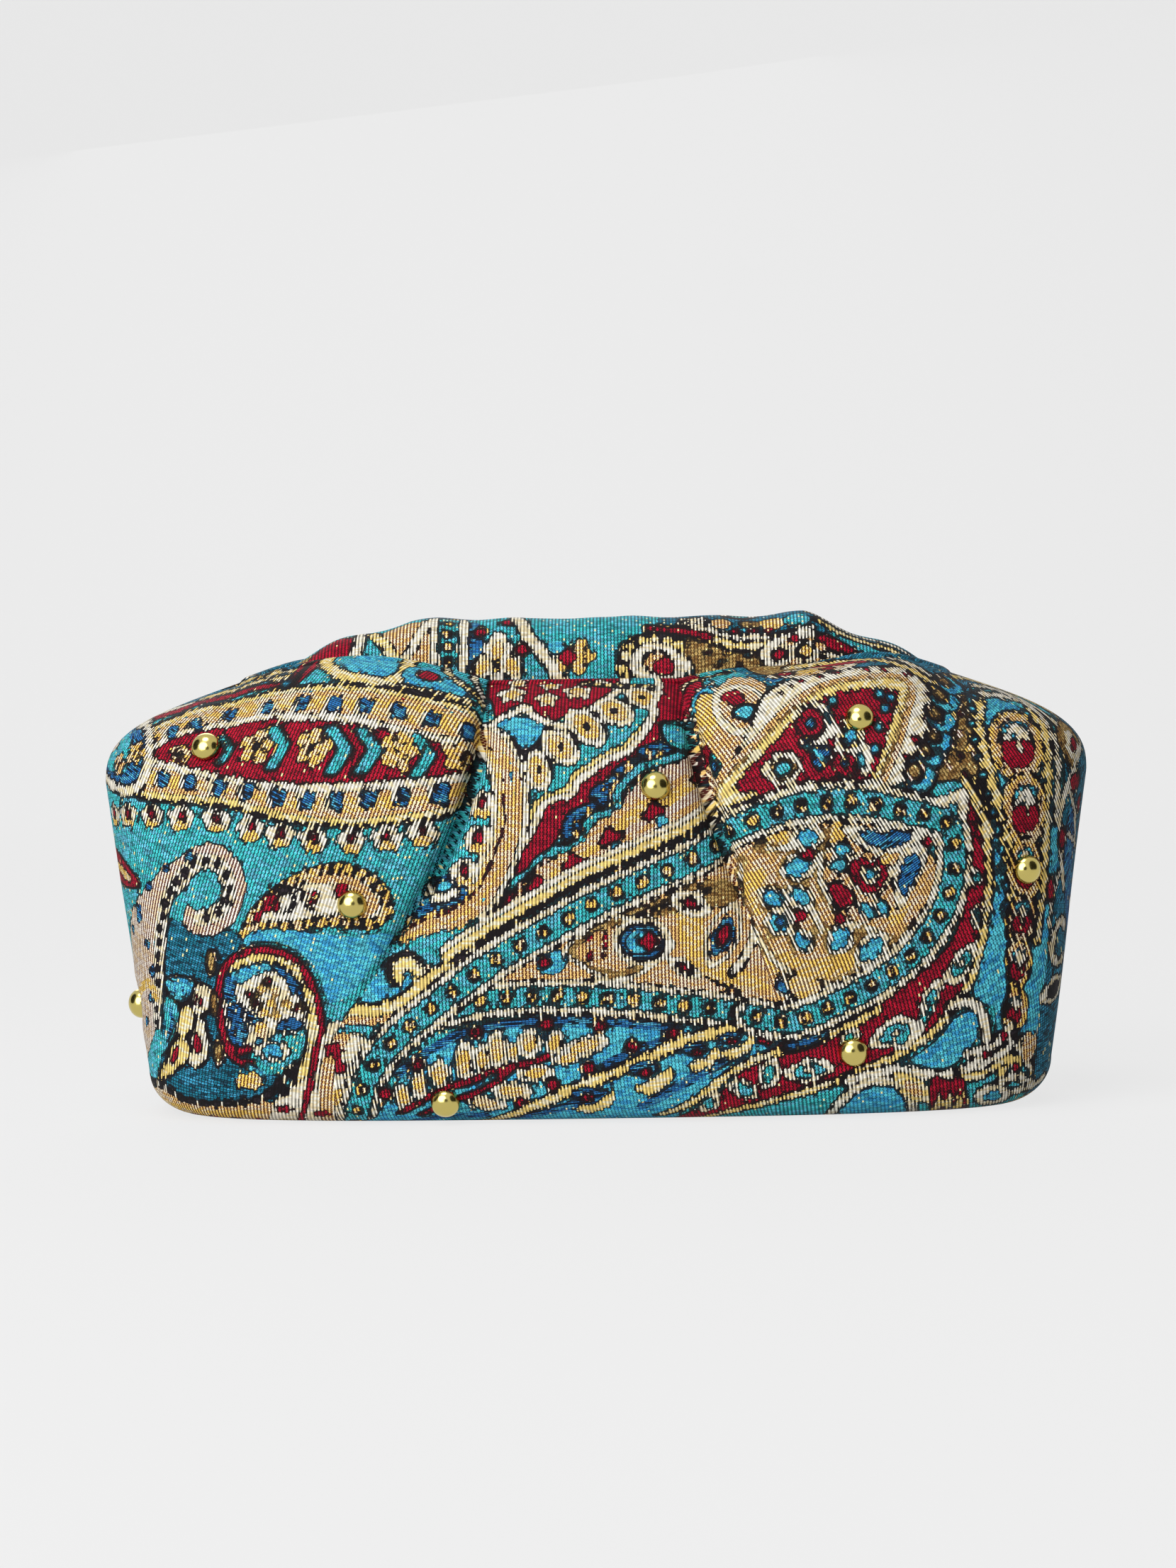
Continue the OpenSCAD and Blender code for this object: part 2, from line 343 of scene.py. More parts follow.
    def chevron(self, u, v, yarn, width, height):
        w, h = width / 2, height / 2
        self.poly([(u - w, v + h), (u, v + h), (u + w, v), (u, v - h), (u - w, v - h), (u, v)], yarn)

    # a dotted band with comb borders, as on the large botehs
    def dottedBand(self, points, width, pitch, start):
        self.band(points, (width + 4.8, "black"), (width + 3.6, "comb"), (width + 0.7, "black"),
                  (width, "teal"))
        for u, v, turn in spacedAlong(points, pitch, start):
            self.tile(u, v, "black", 3.5, 3.6, turn)
            self.tile(u, v, "gold", 1.9, 2.1, turn)


def closed(points):
    return points + points[:1]


def paintLeftPanel(p):
    lensTop = [(-142, 129), (-130, 136), (-120, 140.5), (-110, 142), (-100, 141), (-90, 139.7), (-80, 138),
               (-70, 137), (-60, 136), (-50, 135), (-40, 133.5), (-26, 130)]
    lensBottom = [(-142, 107.5), (-130, 106.5), (-120, 106), (-110, 105), (-100, 102.5), (-92, 100.5),
                  (-80, 99.3), (-70, 99), (-60, 99.8), (-50, 101), (-42, 103), (-28, 108)]
    heartTop = [(-137, 122), (-128, 127.5), (-120, 130), (-112, 131.5), (-100, 131), (-90, 128),
                (-80, 126.5), (-70, 125), (-60, 123), (-50, 121.5), (-40, 120), (-28, 117)]
    heartBottom = [(-137, 120), (-128, 117.5), (-120, 116), (-110, 113.5), (-100, 111.5), (-90, 110.2),
                   (-80, 109.8), (-70, 109.8), (-60, 110.2), (-50, 111), (-40, 112.5), (-28, 115)]
    # strip above the lens
    p.shape([(-140, 136), (-126, 142), (-112, 146), (-100, 144), (-91, 141), (-86, 150), (-90, 164),
             (-140, 164)], "deep")
    p.stroke([(-136, 138.5), (-122, 143.6), (-108, 146.4), (-96, 144)], "crimson", 2.8)
    p.rim([(-130, 144), (-116, 149), (-102, 150), (-93, 146.4)], 1.5, "fringe")
    p.rim([(-124, 151), (-110, 155), (-97, 153), (-90, 150)], 1.5, "fringe")
    p.leaf((-112, 158), (-97, 155), 5, (1, "olive"), (0.6, "teal"))
    p.shape([(-91.5, 140), (-86, 146), (-82, 153), (-78, 164), (-88, 164), (-91, 150)], "crimson")
    p.stroke([(-91, 142), (-88, 150), (-85, 160)], "black", 1.6)
    p.disc(-67, 149, "aqua", 8.5, 9)
    p.rim([(-83, 164), (-81.5, 151), (-79, 146), (-75, 142), (-66, 139.6), (-60, 140.6), (-56.5, 147),
           (-56, 164)], 3.8, "fringe")
    p.shape([(-56, 149), (-57, 140), (-48, 138.4), (-38, 138.4), (-40, 147), (-47, 152)], "aqua")
    p.disc(-50, 146, "crimson", 3.6, 3)
    p.rim([(-62, 138.6), (-50, 137.8), (-37, 136.4)], 1.2, "fringe", dark=0.7)
    p.rim([(-46, 158), (-43, 149), (-37, 142), (-29, 136)], 1.6, "fringe")
    p.rim([(-37, 158), (-36, 149), (-33, 142), (-27, 137)], 1.4)
    p.stroke([(-156, 132), (-144, 134.5), (-130, 139.5)], "crimson", 3)
    p.stroke([(-156, 134.5), (-144, 137), (-131, 142)], "comb", 1.8)
    # lens with squares along its two bands
    p.between(lensTop, lensBottom, "gold")
    p.between(heartTop, heartBottom, "crimson")
    for edge, heart, inwards in ((lensTop, heartTop, -1), (lensBottom, heartBottom, 1)):
        p.stroke(edge, "lattice", 1.5, 2.7 * inwards)
        p.stroke(edge, "fringe", 1.8, 0.8 * inwards)
        p.stroke(edge, "black", 1.0, -0.6 * inwards)
        p.stroke(heart, "lattice", 1.5, -2.8 * inwards)
        p.rim(heart, 2.0, offset=-0.9 * inwards, dark=0.25)
    upperTiles = [(-130, 129.5), (-121.5, 133), (-111, 136.5), (-98.5, 135), (-87.5, 133), (-77.5, 131.3),
                  (-68, 130.2), (-58, 129), (-48.5, 127.8), (-38, 125.5)]
    lowerTiles = [(-131.5, 113), (-122.5, 112), (-113, 110.5), (-104, 109), (-94.5, 106.8), (-85.5, 105.7),
                  (-77, 105.6), (-67, 106), (-57, 106.6), (-46.5, 107.4)]
    for u, v in upperTiles + lowerTiles:
        p.tile(u - 0.9, v, "comb", 5, 5.2, -8)
        p.tile(u, v, "navy", 4.2, 5, -8)
    for u, v, size in [(-126, 121.5, 6.5), (-101.5, 122, 9.5), (-84, 119.5, 9.5), (-58.5, 118, 9.5),
                       (-41.5, 117, 8)]:
        p.blossom(u, v, size, "gold", "black")
    for u, v, width, height in [(-111.5, 123, 7, 11), (-95, 121, 9, 13.5), (-76.5, 118.3, 10, 13),
                                (-67.5, 118, 10, 12), (-51.5, 117, 9, 11.5)]:
        p.chevron(u, v, "teal", width, height)
    # row of eyes
    for u, v in [(-157, 101), (-147, 101.5), (-136, 101.5), (-125.5, 101), (-114, 100.3), (-103, 97.8),
                 (-94, 95.8), (-84, 94.6), (-72.5, 94), (-62, 94.6), (-52, 96.4)]:
        p.eye(u, v, 7.2)
    # blue oval at the far side
    oval = [(-166, 113), (-152, 109.5), (-145, 109), (-140, 111.5), (-137, 118), (-138, 126), (-142.5, 131),
            (-152, 132), (-166, 132)]
    p.shape(oval, "navy")
    p.shape([(-166, 118), (-152, 114), (-146, 116), (-148, 126), (-166, 127)], "teal")
    p.rim(oval, 2.6)
    p.blossom(-143, 121.5, 7.5)
    p.blossom(-151, 117.5, 6, "lattice")
    p.leaf((-170, 123), (-156, 123), 4.5, (1, "comb"), (0.5, "crimson"))
    # crimson leaf at the far side
    p.shape([(-176, 92), (-160, 90), (-150, 86), (-143, 80), (-152, 79), (-164, 80), (-176, 78)], "crimson")
    p.stroke([(-176, 84), (-162, 85), (-150, 82)], "gold", 2.4)
    # white scroll with a ladder along its edge
    p.shape([
        (-158, 60), (-150, 72), (-146, 75), (-137, 82), (-128.5, 87.6), (-121.5, 92), (-116, 93.4),
        (-110.5, 91.6), (-107, 87), (-105.3, 80.5), (-106.5, 74), (-110.5, 68.8), (-116.5, 66.2), (-123, 67),
        (-126, 70.5), (-124.5, 74.4), (-120.5, 73.2), (-116.5, 74.3), (-113.8, 76.5), (-112.8, 80.5),
        (-113.8, 84), (-116.3, 85.6), (-119.5, 85), (-123, 82.3), (-126.5, 79), (-129.5, 75.5), (-131.5, 71),
        (-134, 60), (-136, 50), (-138, 42), (-142, 34), (-150, 27), (-162, 27)], "cream")
    ladder = [(-140, 38), (-138.5, 48), (-137, 58), (-135.5, 67), (-132.5, 75), (-129, 80), (-125, 84.4),
              (-120.5, 87.8), (-116, 88.2), (-111.8, 85.8), (-110.3, 80.5), (-111.8, 75), (-116, 71.6),
              (-120.5, 70.6)]
    p.stroke(ladder, "comb", 4.8)
    for u, v, turn in spacedAlong(ladder, 4.2):
        p.tile(u, v, "black", 2.8, 2.6, turn)
    p.beads([(-152, 66), (-143, 76), (-134, 84), (-122, 90)], "navy", 3.4, 9.5)
    p.beads([(-146, 70), (-142, 61), (-141, 52), (-143, 44), (-147, 36)], "navy", 3.6, 8.6)
    p.stroke([(-160, 44), (-152, 46), (-144, 50), (-139, 46)], "gold", 3)
    # small paisley round a stud
    paisley = [(-105.6, 67), (-102, 73.2), (-95.5, 79), (-86.5, 83.8), (-77.5, 86), (-70, 84.4), (-64.4, 80),
               (-62.2, 74), (-66, 69.6), (-73, 69.4), (-81, 70), (-90, 68.8), (-99, 68.4)]
    ring = closed(paisley)
    p.shape(paisley, "comb")
    p.shape([(-90, 82), (-82, 84), (-74, 83.5), (-67, 79), (-65, 74), (-70, 71), (-80, 72.4), (-74, 73),
             (-70, 76), (-74, 81), (-82, 81.6)], "lattice")
    p.stroke(ring, "black", 3.2)
    p.beads(ring, "gold", 2.7, 3.6)
    p.stroke([(-96, 80), (-91.6, 79), (-90.4, 75.4), (-93.4, 72.8)], "black", 1.5)
    p.stroke([(-88.5, 80.4), (-87, 76), (-84, 73.4)], "black", 1.3)
    for u, v, size in [(-97.4, 75.4, 5.6), (-84.4, 77.2, 4.8), (-75.6, 79, 5.6), (-101.8, 71.6, 3.6)]:
        p.rosette(u, v, "crimson", size / 2, size / 2, 4, 0.25, 45)
    for u, v in [(-97.4, 75.4), (-84.4, 77.2)]:
        p.disc(u, v, "gold", 0.9)
    # deep ground low on the left: partly the cloth's darker teal-blue yarn, partly painted shade on that low
    # side
    p.shape([(-138, 30), (-136.5, 42), (-135, 52), (-133.5, 61), (-131, 70), (-126.6, 69), (-123, 66.4),
             (-116.5, 65.6), (-109, 67), (-100, 55), (-92, 40), (-96, 18), (-104, 12), (-120, 11),
             (-140, 14)], "deep")
    # ring with a flower in it
    p.shape([(-107, 62), (-100, 64), (-92, 62.5), (-84, 56), (-80, 46), (-74, 48), (-66, 58), (-60, 66),
             (-75, 65.5), (-95, 68), (-104, 67)], "aqua")
    ringPath = [(-104.5, 31.8), (-109.5, 30.6), (-113, 34), (-114.5, 42), (-114.5, 50), (-112.5, 56),
                (-107.5, 60), (-100, 61.5), (-93, 60), (-88, 56), (-85, 50), (-83, 42), (-83.2, 34),
                (-85, 26), (-87, 18), (-89, 8)]
    p.shape(ringPath[:-2] + [(-90, 24), (-98, 27)], "navy")
    p.shape([(-111, 54), (-104, 58), (-97, 57), (-100, 53), (-107, 51)], "aqua")
    p.shape([(-107, 26), (-98, 36), (-88, 42), (-85, 34), (-89, 24)], "teal")
    p.rim([(-110, 57), (-105, 59), (-99, 59.6), (-93, 57.8), (-88.5, 53.5), (-86, 48), (-85.2, 40),
           (-86, 32), (-89, 24), (-92, 18)], 2.6, "fringe", dark=0.7)
    p.stroke(ringPath, "crimson", 2.4)
    p.stroke([(-104.5, 27.3), (-109, 27.4), (-113.2, 31)], "crimson", 2)
    p.shape([(-109.5, 49.8), (-105, 52.4), (-99.5, 54.8), (-94.6, 53.6), (-91.4, 48.6), (-86.6, 44.4),
             (-90.6, 39.8), (-98, 38), (-102.6, 41.8), (-107.4, 45.2)], "comb")
    for k, (u, v) in enumerate([(-104.5, 48), (-101, 49.5), (-96.5, 49), (-102.5, 45.4), (-98, 45.5),
                                (-93, 45), (-89.5, 44), (-96.5, 41.6), (-100.6, 42.4), (-98.5, 52.2)]):
        p.rosette(u, v, "olive", 1.9, 1.7, 4, 0.2)
        p.disc(u, v, "crimson" if k % 3 == 0 else "gold", 1.3, 1.1)
    p.leaf((-113.5, 46.8), (-104.4, 32.4), 6.6, (1, "comb"), (0.78, "navy"))
    p.leaf((-98.6, 37.6), (-86.4, 40), 5.8, (1, "comb"), (0.74, "navy"))
    p.leaf((-104, 31), (-92, 30.4), 6.4, (1, "comb"), (0.7, "aqua"))
    p.tile(-101.3, 37, "comb", 6.6, 4.8)
    p.tile(-101.3, 37, "gold", 4, 4.4)
    p.stroke([(-106, 26), (-101, 23.6)], "aqua", 2)
    p.rosette(-105.5, 21.4, "gold", 4.2, 2.4, 5, 0.15)
    # butterfly flower and its leaves
    bud = [(-134.5, 51.5), (-128, 52.5), (-122.5, 51), (-123.5, 47.5), (-128, 45), (-131.5, 46),
           (-133.5, 48)]
    blade = [(-134.5, 46.5), (-130.5, 45), (-129, 40), (-131.5, 34.5), (-137, 28.5), (-139, 30),
             (-135, 36.5), (-136, 42)]
    p.stroke(bud[:5] + [(-133, 46.5), (-134.5, 51.5)], "black", 1.4)
    p.stroke(blade[:5], "black", 1.4)
    p.shape(bud, "aqua")
    p.shape(blade, "teal")
    for u in (-130.6, -127.6):
        p.stroke([(u, 50.4), (u + 0.4, 47.4)], "navy", 1.2)
    p.stroke([(-132.6, 43), (-132.4, 38), (-135, 33)], "navy", 1.5)
    for outline, yarn in (
            ([(-122.5, 49.8), (-120, 50.4), (-117.8, 47), (-118.2, 43.5), (-121.5, 41.3), (-124, 42.5),
              (-124, 46.5)], "comb"),
            ([(-127, 44.2), (-124.4, 43.5), (-124.4, 39.5), (-126, 35.3), (-129.2, 34.8), (-129.2, 38.5)],
             "fringe"),
            ([(-122, 40.6), (-120.4, 39.5), (-119.2, 34), (-119.8, 28.3), (-123, 25.6), (-125.6, 27.5),
              (-125.6, 32), (-123.6, 36)], "comb"),
            ([(-130, 33.6), (-126.2, 32.5), (-126.2, 28.5), (-131.5, 24.3), (-141, 20), (-136.6, 25),
              (-133.6, 29)], "fringe")):
        p.stroke(closed(outline), "black", 1.6)
        p.shape(outline, yarn)
    for u, v, rx, ry, turn in [
            (-121.4, 45.6, 1.3, 2.4, 0), (-122.8, 32.4, 1.5, 3.3, 0), (-131.8, 28.2, 1.4, 3.8, -32)]:
        p.disc(u, v, "crimson", rx, ry, turn)
    for u, v in [(-117, 57.5), (-116.4, 45), (-115.6, 30)]:
        p.berry(u, v, "olive", 0.6, 1.3, 3.8)
    # border along the base
    p.shape([(-176, 20), (-150, 17), (-138, 17), (-130, 13.8), (-120, 12.5), (-110, 13), (-102, 15),
             (-97, 10), (-96, -4), (-176, -4)], "lattice")
    p.stroke([(-150, 12), (-135, 9.5), (-120, 8), (-104, 8.5)], "gold", 5)
    p.stroke([(-170, 5), (-140, 3), (-104, 1)], "comb", 4)
    p.beads([(-176, 9), (-140, 6), (-100, 4)], "crimson", 3.4, 8)
    scallop = [(-176, 21), (-150, 19), (-138, 18), (-130, 14.5), (-120, 13.2), (-110, 13.7), (-103, 15.5),
               (-97, 20), (-91, 27)]
    p.stroke(scallop, "black", 2)
    p.beads(scallop, "black", 3.2, 4.6)
    p.beads(scallop, "comb", 1.6, 4.6, 2.3)
    # cream strip down to the base
    p.shape([(-78, 40), (-83, 34), (-86, 25), (-92, 20), (-98, 14), (-101, 4), (-100, -4), (-74, -4),
             (-74, 12), (-72, 22), (-70, 34)], "comb")
    p.stroke([(-76, 36), (-80.5, 28), (-82, 18), (-82, 0)], "lattice", 4)
    p.stroke([(-84, 34), (-86.3, 22), (-89, 12), (-91, 0)], "crimson", 2.2)
    for u, v, rx, ry in [(-79, 31, 2.8, 2.4), (-77.5, 26, 2, 2.2), (-95.5, 11.5, 2.8, 2),
                         (-83.5, 9.5, 2.8, 1.8)]:
        p.rosette(u, v, "crimson", rx, ry, 5, 0.2)
    p.disc(-95, 18.5, "black", 1.4, 1.8)
    p.disc(-78, 16, "gold", 2.4, 3.4)


# beads under the lip, on both sides of the right pleat
def beadedLip(p):
    p.stroke([(-3, 152), (8, 149.4), (20, 148.6), (32, 149.4), (40, 152)], "black", 4)
    p.beads([(-3, 152), (8, 149.6), (20, 148.8), (32, 149.6), (40, 152)], "fringe", 2.6, 3.8)


def paintMiddlePanel(p):
    # crimson patch under the lip
    p.shape([(-36, 162), (-31, 142), (-29.5, 134), (-23, 138.5), (-18, 133.5), (-12, 131.5), (-6, 136),
             (0, 139), (9, 152), (10, 164), (-20, 164)], "crimson")
    p.rim([(-33, 129), (-29, 132.5), (-23, 135.5), (-20.5, 138), (-17.5, 133), (-12, 130), (-7, 129.6),
           (-5, 133.5), (-0.5, 136), (2.5, 140), (7, 145.5), (10, 156)], 2.2, dark=0.5)
    for u, v, size in [(-14, 141, 6.5), (-5, 145.5, 8), (-24.5, 144.5, 8), (-13, 150, 6), (-23, 153, 6),
                       (1, 152, 6)]:
        p.rosette(u, v, "comb", size / 2, size / 2, 5, 0.24, 20)
        p.rosette(u, v, "gold", size * 0.3, size * 0.3, 4, 0.2)
    beadedLip(p)
    # diamond and light drops on the teal field
    diamond = [(-30, 130.5), (-22, 133.6), (-14, 129), (-16.5, 123.5), (-21.5, 120.5), (-25, 125.5)]
    p.shape(diamond, "aqua")
    p.stroke(diamond[2:], "black", 1.4)
    for a, b, width in [((11, 148), (18.4, 136.4), 9), ((1.4, 141.4), (11, 129.8), 9.4),
                        ((-7, 136.4), (2.4, 122.2), 9.4), ((-15, 127.6), (-5.4, 116.6), 9.4),
                        ((-18.4, 121.4), (-15.4, 108), 7.4)]:
        p.edgedLeaf(a, b, width, 1.6, (1, "comb"), (0.68, "gold"), (0.24, "black"), full=0.6)
    # blue lobes beside the crimson band
    for u, v, rx, ry in [(17.8, 120, 6.8, 4.2), (10.2, 114.6, 5.8, 4.2), (3.4, 108.2, 5.8, 5),
                         (-4, 98.6, 6.6, 7.4)]:
        p.berry(u, v, "navy", 0.9, rx, ry)
    crimsonLeft = [
        (21, 158), (20.5, 145.5), (19, 138.5), (18.6, 133), (16, 127), (12.5, 122), (10, 119.5), (4.5, 117),
        (0, 113.5), (-4, 111), (-5.6, 107), (-7, 106), (-11.5, 105), (-14.5, 103.5), (-16, 101), (-17, 97.5),
        (-18.5, 94.5), (-21, 92.5), (-24, 90.5), (-27, 87), (-29, 82), (-30.5, 78), (-32.5, 73), (-35, 65.5),
        (-38, 58)]
    crimsonRight = [
        (30, 158), (28, 140), (28, 133), (22, 131.5), (20.5, 129), (19.6, 124), (13.5, 121.6), (12.5, 118.5),
        (6.5, 115.5), (4.5, 112), (-0.5, 109), (-1.8, 106.5), (-1, 104.4), (-4, 103.6), (-8.5, 101),
        (-10, 96.5), (-12, 93), (-14.5, 90.5), (-18, 88.5), (-20, 85.5), (-23, 83.5), (-26, 81.5),
        (-28, 78.5), (-29, 75), (-31.5, 65.5), (-34.4, 58)]
    p.poly([(40, 122), (28, 119), (22, 116), (15, 111), (9, 106), (4, 100), (-1, 95), (-6, 91), (-12, 89),
            (-19, 85), (-24, 79), (-28, 70), (-33, 61), (-52, 49), (-40, 57), (-25, 69), (-10, 78), (5, 85),
            (20, 92), (40, 101)], "cream")
    p.rim([(31, 121.5), (24, 118), (17, 116), (13, 114.5), (8.5, 110), (6.5, 107), (6.5, 102.5), (1, 100.5),
           (-2, 98.5), (-2.5, 95), (-6.5, 91), (-12.5, 90), (-17, 88.4), (-21, 84.6), (-24.5, 81.4),
           (-26.6, 78), (-27.6, 73.5), (-29, 67)], 2.8, "teal", dark=0.7)
    p.between(crimsonLeft, crimsonRight, "crimson")
    p.stroke(crimsonLeft, "comb", 2.4, -1)
    p.stroke(crimsonLeft[4:16], "fringe", 1.3, -2.6)
    for u, v in [(16, 120), (20, 119.5), (10, 115), (3, 108.5), (-2, 102), (-5, 99), (-6.5, 95.4)]:
        p.tile(u, v, "gold", 1.6, 1.9)
    p.leaf((19.6, 131), (31.5, 120), 9.5, (1, "black"), (0.86, "teal"), (0.45, "aqua"))
    # light band with small flowers
    for points in ([(38, 114), (28, 109), (20, 104), (12, 100)], [(14, 103), (7, 97.5), (0, 92.5)],
                   [(2, 92), (-6, 87), (-16, 81), (-22, 74)]):
        p.stroke(points, "gold", 4)
        p.stroke(points, "lattice", 2.2, -2.6)
    p.stroke([(36, 105), (24, 99.5), (12, 94.4), (0, 88), (-12, 81.5), (-24, 73)], "lattice", 3)
    for u, v in [(17.5, 101), (4.5, 93.6), (-6.5, 86.4), (-17, 80), (33, 112), (-24.5, 75)]:
        p.rosette(u, v, "black", 4, 3.4, 4, 0.2, 20)
        p.rosette(u, v, "crimson", 3.2, 2.7, 4, 0.25, 20)
        p.disc(u + 2.4, v - 2.4, "aqua", 2.6, 1.8)
    # striped band, from the lens down round the blue scroll
    stripe = [(-40, 131), (-34, 126.5), (-28.8, 121), (-26, 114), (-25, 106), (-25.5, 98), (-27.8, 90),
              (-31.5, 82), (-36, 75.5), (-43, 71), (-52, 68), (-62, 64)]
    p.band(stripe, (11.5, "black"), (10.4, "comb"), (7.6, "gold"))
    for yarn, width, offset in (
            ("lattice", 1.6, 2.4), ("lattice", 1.8, -0.4), ("crimson", 0.8, -1.9), ("comb", 1.0, 4.4)):
        p.stroke(stripe, yarn, width, offset)
    # eyes between the pleat and the striped band
    for u, v in [(-33.8, 104), (-34.6, 93.8), (-39.2, 83.8)]:
        p.eye(u, v, 8)
    # blue scroll and curl beside the left pleat
    p.shape([(-57, 71), (-54, 79), (-46, 83.5), (-38.5, 79), (-40, 75.5), (-48, 72.5)], "navy")
    p.shape([(-54, 75), (-50, 80), (-44, 81.5), (-41, 78.5), (-46, 76)], "aqua")
    p.rim([(-51, 86), (-49.5, 79), (-46.5, 76.5), (-42, 78)], 2.2)
    p.shape([(-82, 46), (-73, 60), (-62, 61.5), (-50, 66), (-40, 68), (-34, 70), (-37, 58), (-46, 52),
             (-54, 46), (-66, 42), (-76, 42)], "teal")
    p.shape([(-74, 49), (-69, 57), (-61, 59.5), (-54, 56), (-53, 48), (-60, 44.5), (-69, 45)], "aqua")
    p.stroke([(-52.4, 50), (-53, 55.5), (-57, 58.5), (-61, 56), (-60, 52.5)], "black", 5)
    p.stroke([(-53, 50), (-53.5, 55), (-57, 57.5), (-60, 55.5), (-59.4, 53)], "fringe", 3.6)
    p.rim([(-82, 41), (-74, 43), (-66, 43), (-58.5, 45.5), (-52, 50.5), (-44, 56), (-36, 61)], 3.4, "fringe",
          dark=0.8)
    p.stroke([(-80, 38.5), (-73, 40.3), (-66, 40), (-58, 42.2)], "lattice", 2)
    # golden field with an eye between the dotted bands
    p.shape([(-38, 51), (-20, 57.5), (-10, 63.5), (0, 69), (12, 74.5), (24, 79.5), (36, 85), (60, 80),
             (58, 44), (46, 44), (30, 48.5), (15, 50.5), (0, 51.5), (-20, 51.5)], "lattice")
    p.shape([(-4, 66), (8, 71.5), (20, 76), (30, 80.5), (40, 80), (42, 74), (30, 72), (18, 70), (6, 67)],
            "olive")
    p.stroke([(0, 65), (12, 70.5), (24, 75), (34, 78)], "black", 1.2)
    p.shape([(24, 72), (31, 71), (33, 62), (42, 55), (52, 48), (42, 47.5), (32, 51.5), (25.5, 60)], "gold")
    p.stroke([(27, 56), (34, 51), (44, 47), (54, 43.8)], "black", 1.4)
    p.leaf((-11, 60), (24, 62), 20, (1, "comb"), (0.88, "olive"), full=0.9)
    p.leaf((-7, 60.2), (19, 61.5), 13, (1, "lattice"), full=0.9)
    p.discs(13.5, 62.8, ("comb", 9, 7.6), ("black", 7.4, 6.1), ("navy", 6.6, 5.3), ("aqua", 4.8, 3.6))
    p.rosette(15.5, 62.8, "crimson", 3, 2.5, 4, 0.3)
    for u in (2.5, -2):
        p.stroke([(u, 65), (u - 0.4, 58)], "crimson", 1.6)
    p.disc(-14, 57.2, "aqua", 4.8, 4)
    p.disc(-15.5, 57, "crimson", 2, 1.7)
    p.leaf((21.5, 76.5), (34.5, 71), 7.5, (1, "comb"), (0.6, "black"), (0.4, "crimson"))
    p.leaf((33, 54), (42, 74.5), 10.5, (1, "comb"), (0.78, "lattice"), (0.62, "navy"), (0.36, "crimson"))
    p.leaf((20.5, 58), (31, 51.5), 5.5, (1, "comb"), (0.6, "black"), (0.36, "crimson"))
    p.rim([(40, 53), (44, 58), (47, 66), (46, 78)], 2)
    p.shape([(41, 86), (47, 88), (49, 80), (47, 72), (44, 78)], "gold")
    # two dotted bands that meet at the left
    upperBand = [(56, 101), (46, 96.5), (38, 92), (30, 87.6), (20, 83.4), (10, 79), (0, 74.6), (-10, 69.3),
                 (-20, 63.8), (-30, 58), (-40, 51), (-48, 44.8), (-56, 38.4), (-62, 33), (-67.5, 26),
                 (-71.5, 17), (-73.5, 5), (-74, -4)]
    lowerBand = [(-46, 42.6), (-36, 45.2), (-28, 46.2), (-16, 46.8), (0, 46.3), (12, 45.2), (24, 43.6),
                 (36, 42.2), (46, 40), (55, 38.2), (62, 39.3), (70, 42.6)]
    for width, yarn, offset in ((1.9, "comb", -11.6), (2.6, "fringe", -9.4), (1.2, "black", -7.4)):
        p.stroke(upperBand[:11], yarn, width, offset)
    p.dottedBand(lowerBand, 6.2, 7.6, 4)
    p.dottedBand(upperBand, 7.2, 8.2, 6)
    # turquoise field with a fern leaf
    p.shape([(-69, -4), (-67, 8), (-62, 19), (-54, 28), (-44, 35), (-32, 39), (-18, 40.6), (0, 40.6),
             (14, 38.8), (28, 37), (44, 35), (54, 32), (44, 26), (32, 18), (24, 8), (20, -4)], "aqua")
    for points, width in (
            ([(-60, 24), (-50, 31), (-40, 36), (-26, 38.6), (-10, 39.4), (6, 38.6), (24, 36.4)], 2.6),
            ([(-24, 6), (-10, 12), (2, 17)], 3), ([(2, 26), (14, 31), (24, 34)], 3),
            ([(12, 12), (22, 18), (34, 25), (44, 30)], 3), ([(-60, 2), (-46, 8), (-34, 8)], 3)):
        p.stroke(points, "navy", width)
    for a, b, width in [
            ((-58, 12), (-59.6, 21), 4.6), ((-53, 16), (-54.6, 25), 4.6), ((-47, 18.4), (-48.4, 28), 5),
            ((-40.6, 20.6), (-40, 33.8), 5.6), ((-34.8, 23), (-35, 32.4), 4.4),
            ((-30.6, 24), (-30, 37.4), 5.6), ((-21.4, 28), (-19.6, 37.4), 6), ((-25.6, 27), (-25.4, 33), 4),
            ((-15, 29), (-11.2, 37), 5), ((-11.4, 30), (3.4, 33.4), 5), ((-14, 27), (-4.6, 29), 3.4),
            ((-25, 23.2), (-13, 24), 4.2), ((-33, 18.6), (-19.6, 17.4), 5), ((-41, 15), (-27.6, 12.6), 4.4)]:
        p.edgedLeaf(a, b, width + 0.4, 0.6, (1, "comb"), (0.62, "gold"), full=0.55)
    p.stroke([(-60, 10), (-53, 15), (-46, 19), (-39, 21), (-35, 22.6), (-29, 24.5), (-24.5, 26), (-20, 27),
              (-15, 28.6)], "crimson", 2.2)
    p.stroke([(-54, 9), (-43, 15), (-36, 18), (-30.5, 21.4), (-26.5, 24.4)], "crimson", 2)
    p.stroke([(-52, 12.6), (-43.6, 17.4), (-37, 19.6), (-31, 22.8)], "aqua", 1.8)
    for u, v in [(-54, 26.4), (-36.5, 36), (-15.5, 38.4), (0.5, 37.6), (10, 31.4), (22.3, 34.8), (-3, 25),
                 (-13.8, 20), (-23.5, 13.8), (-64, 17.5)]:
        p.berry(u, v, "crimson", 0.5, 1.9)
    p.rim([(-36, 1), (-24, 9.5), (-12, 16.5), (0, 21.7), (14, 27.5), (28, 33.5), (44, 37)], 2.6, "fringe",
          dark=0.7)
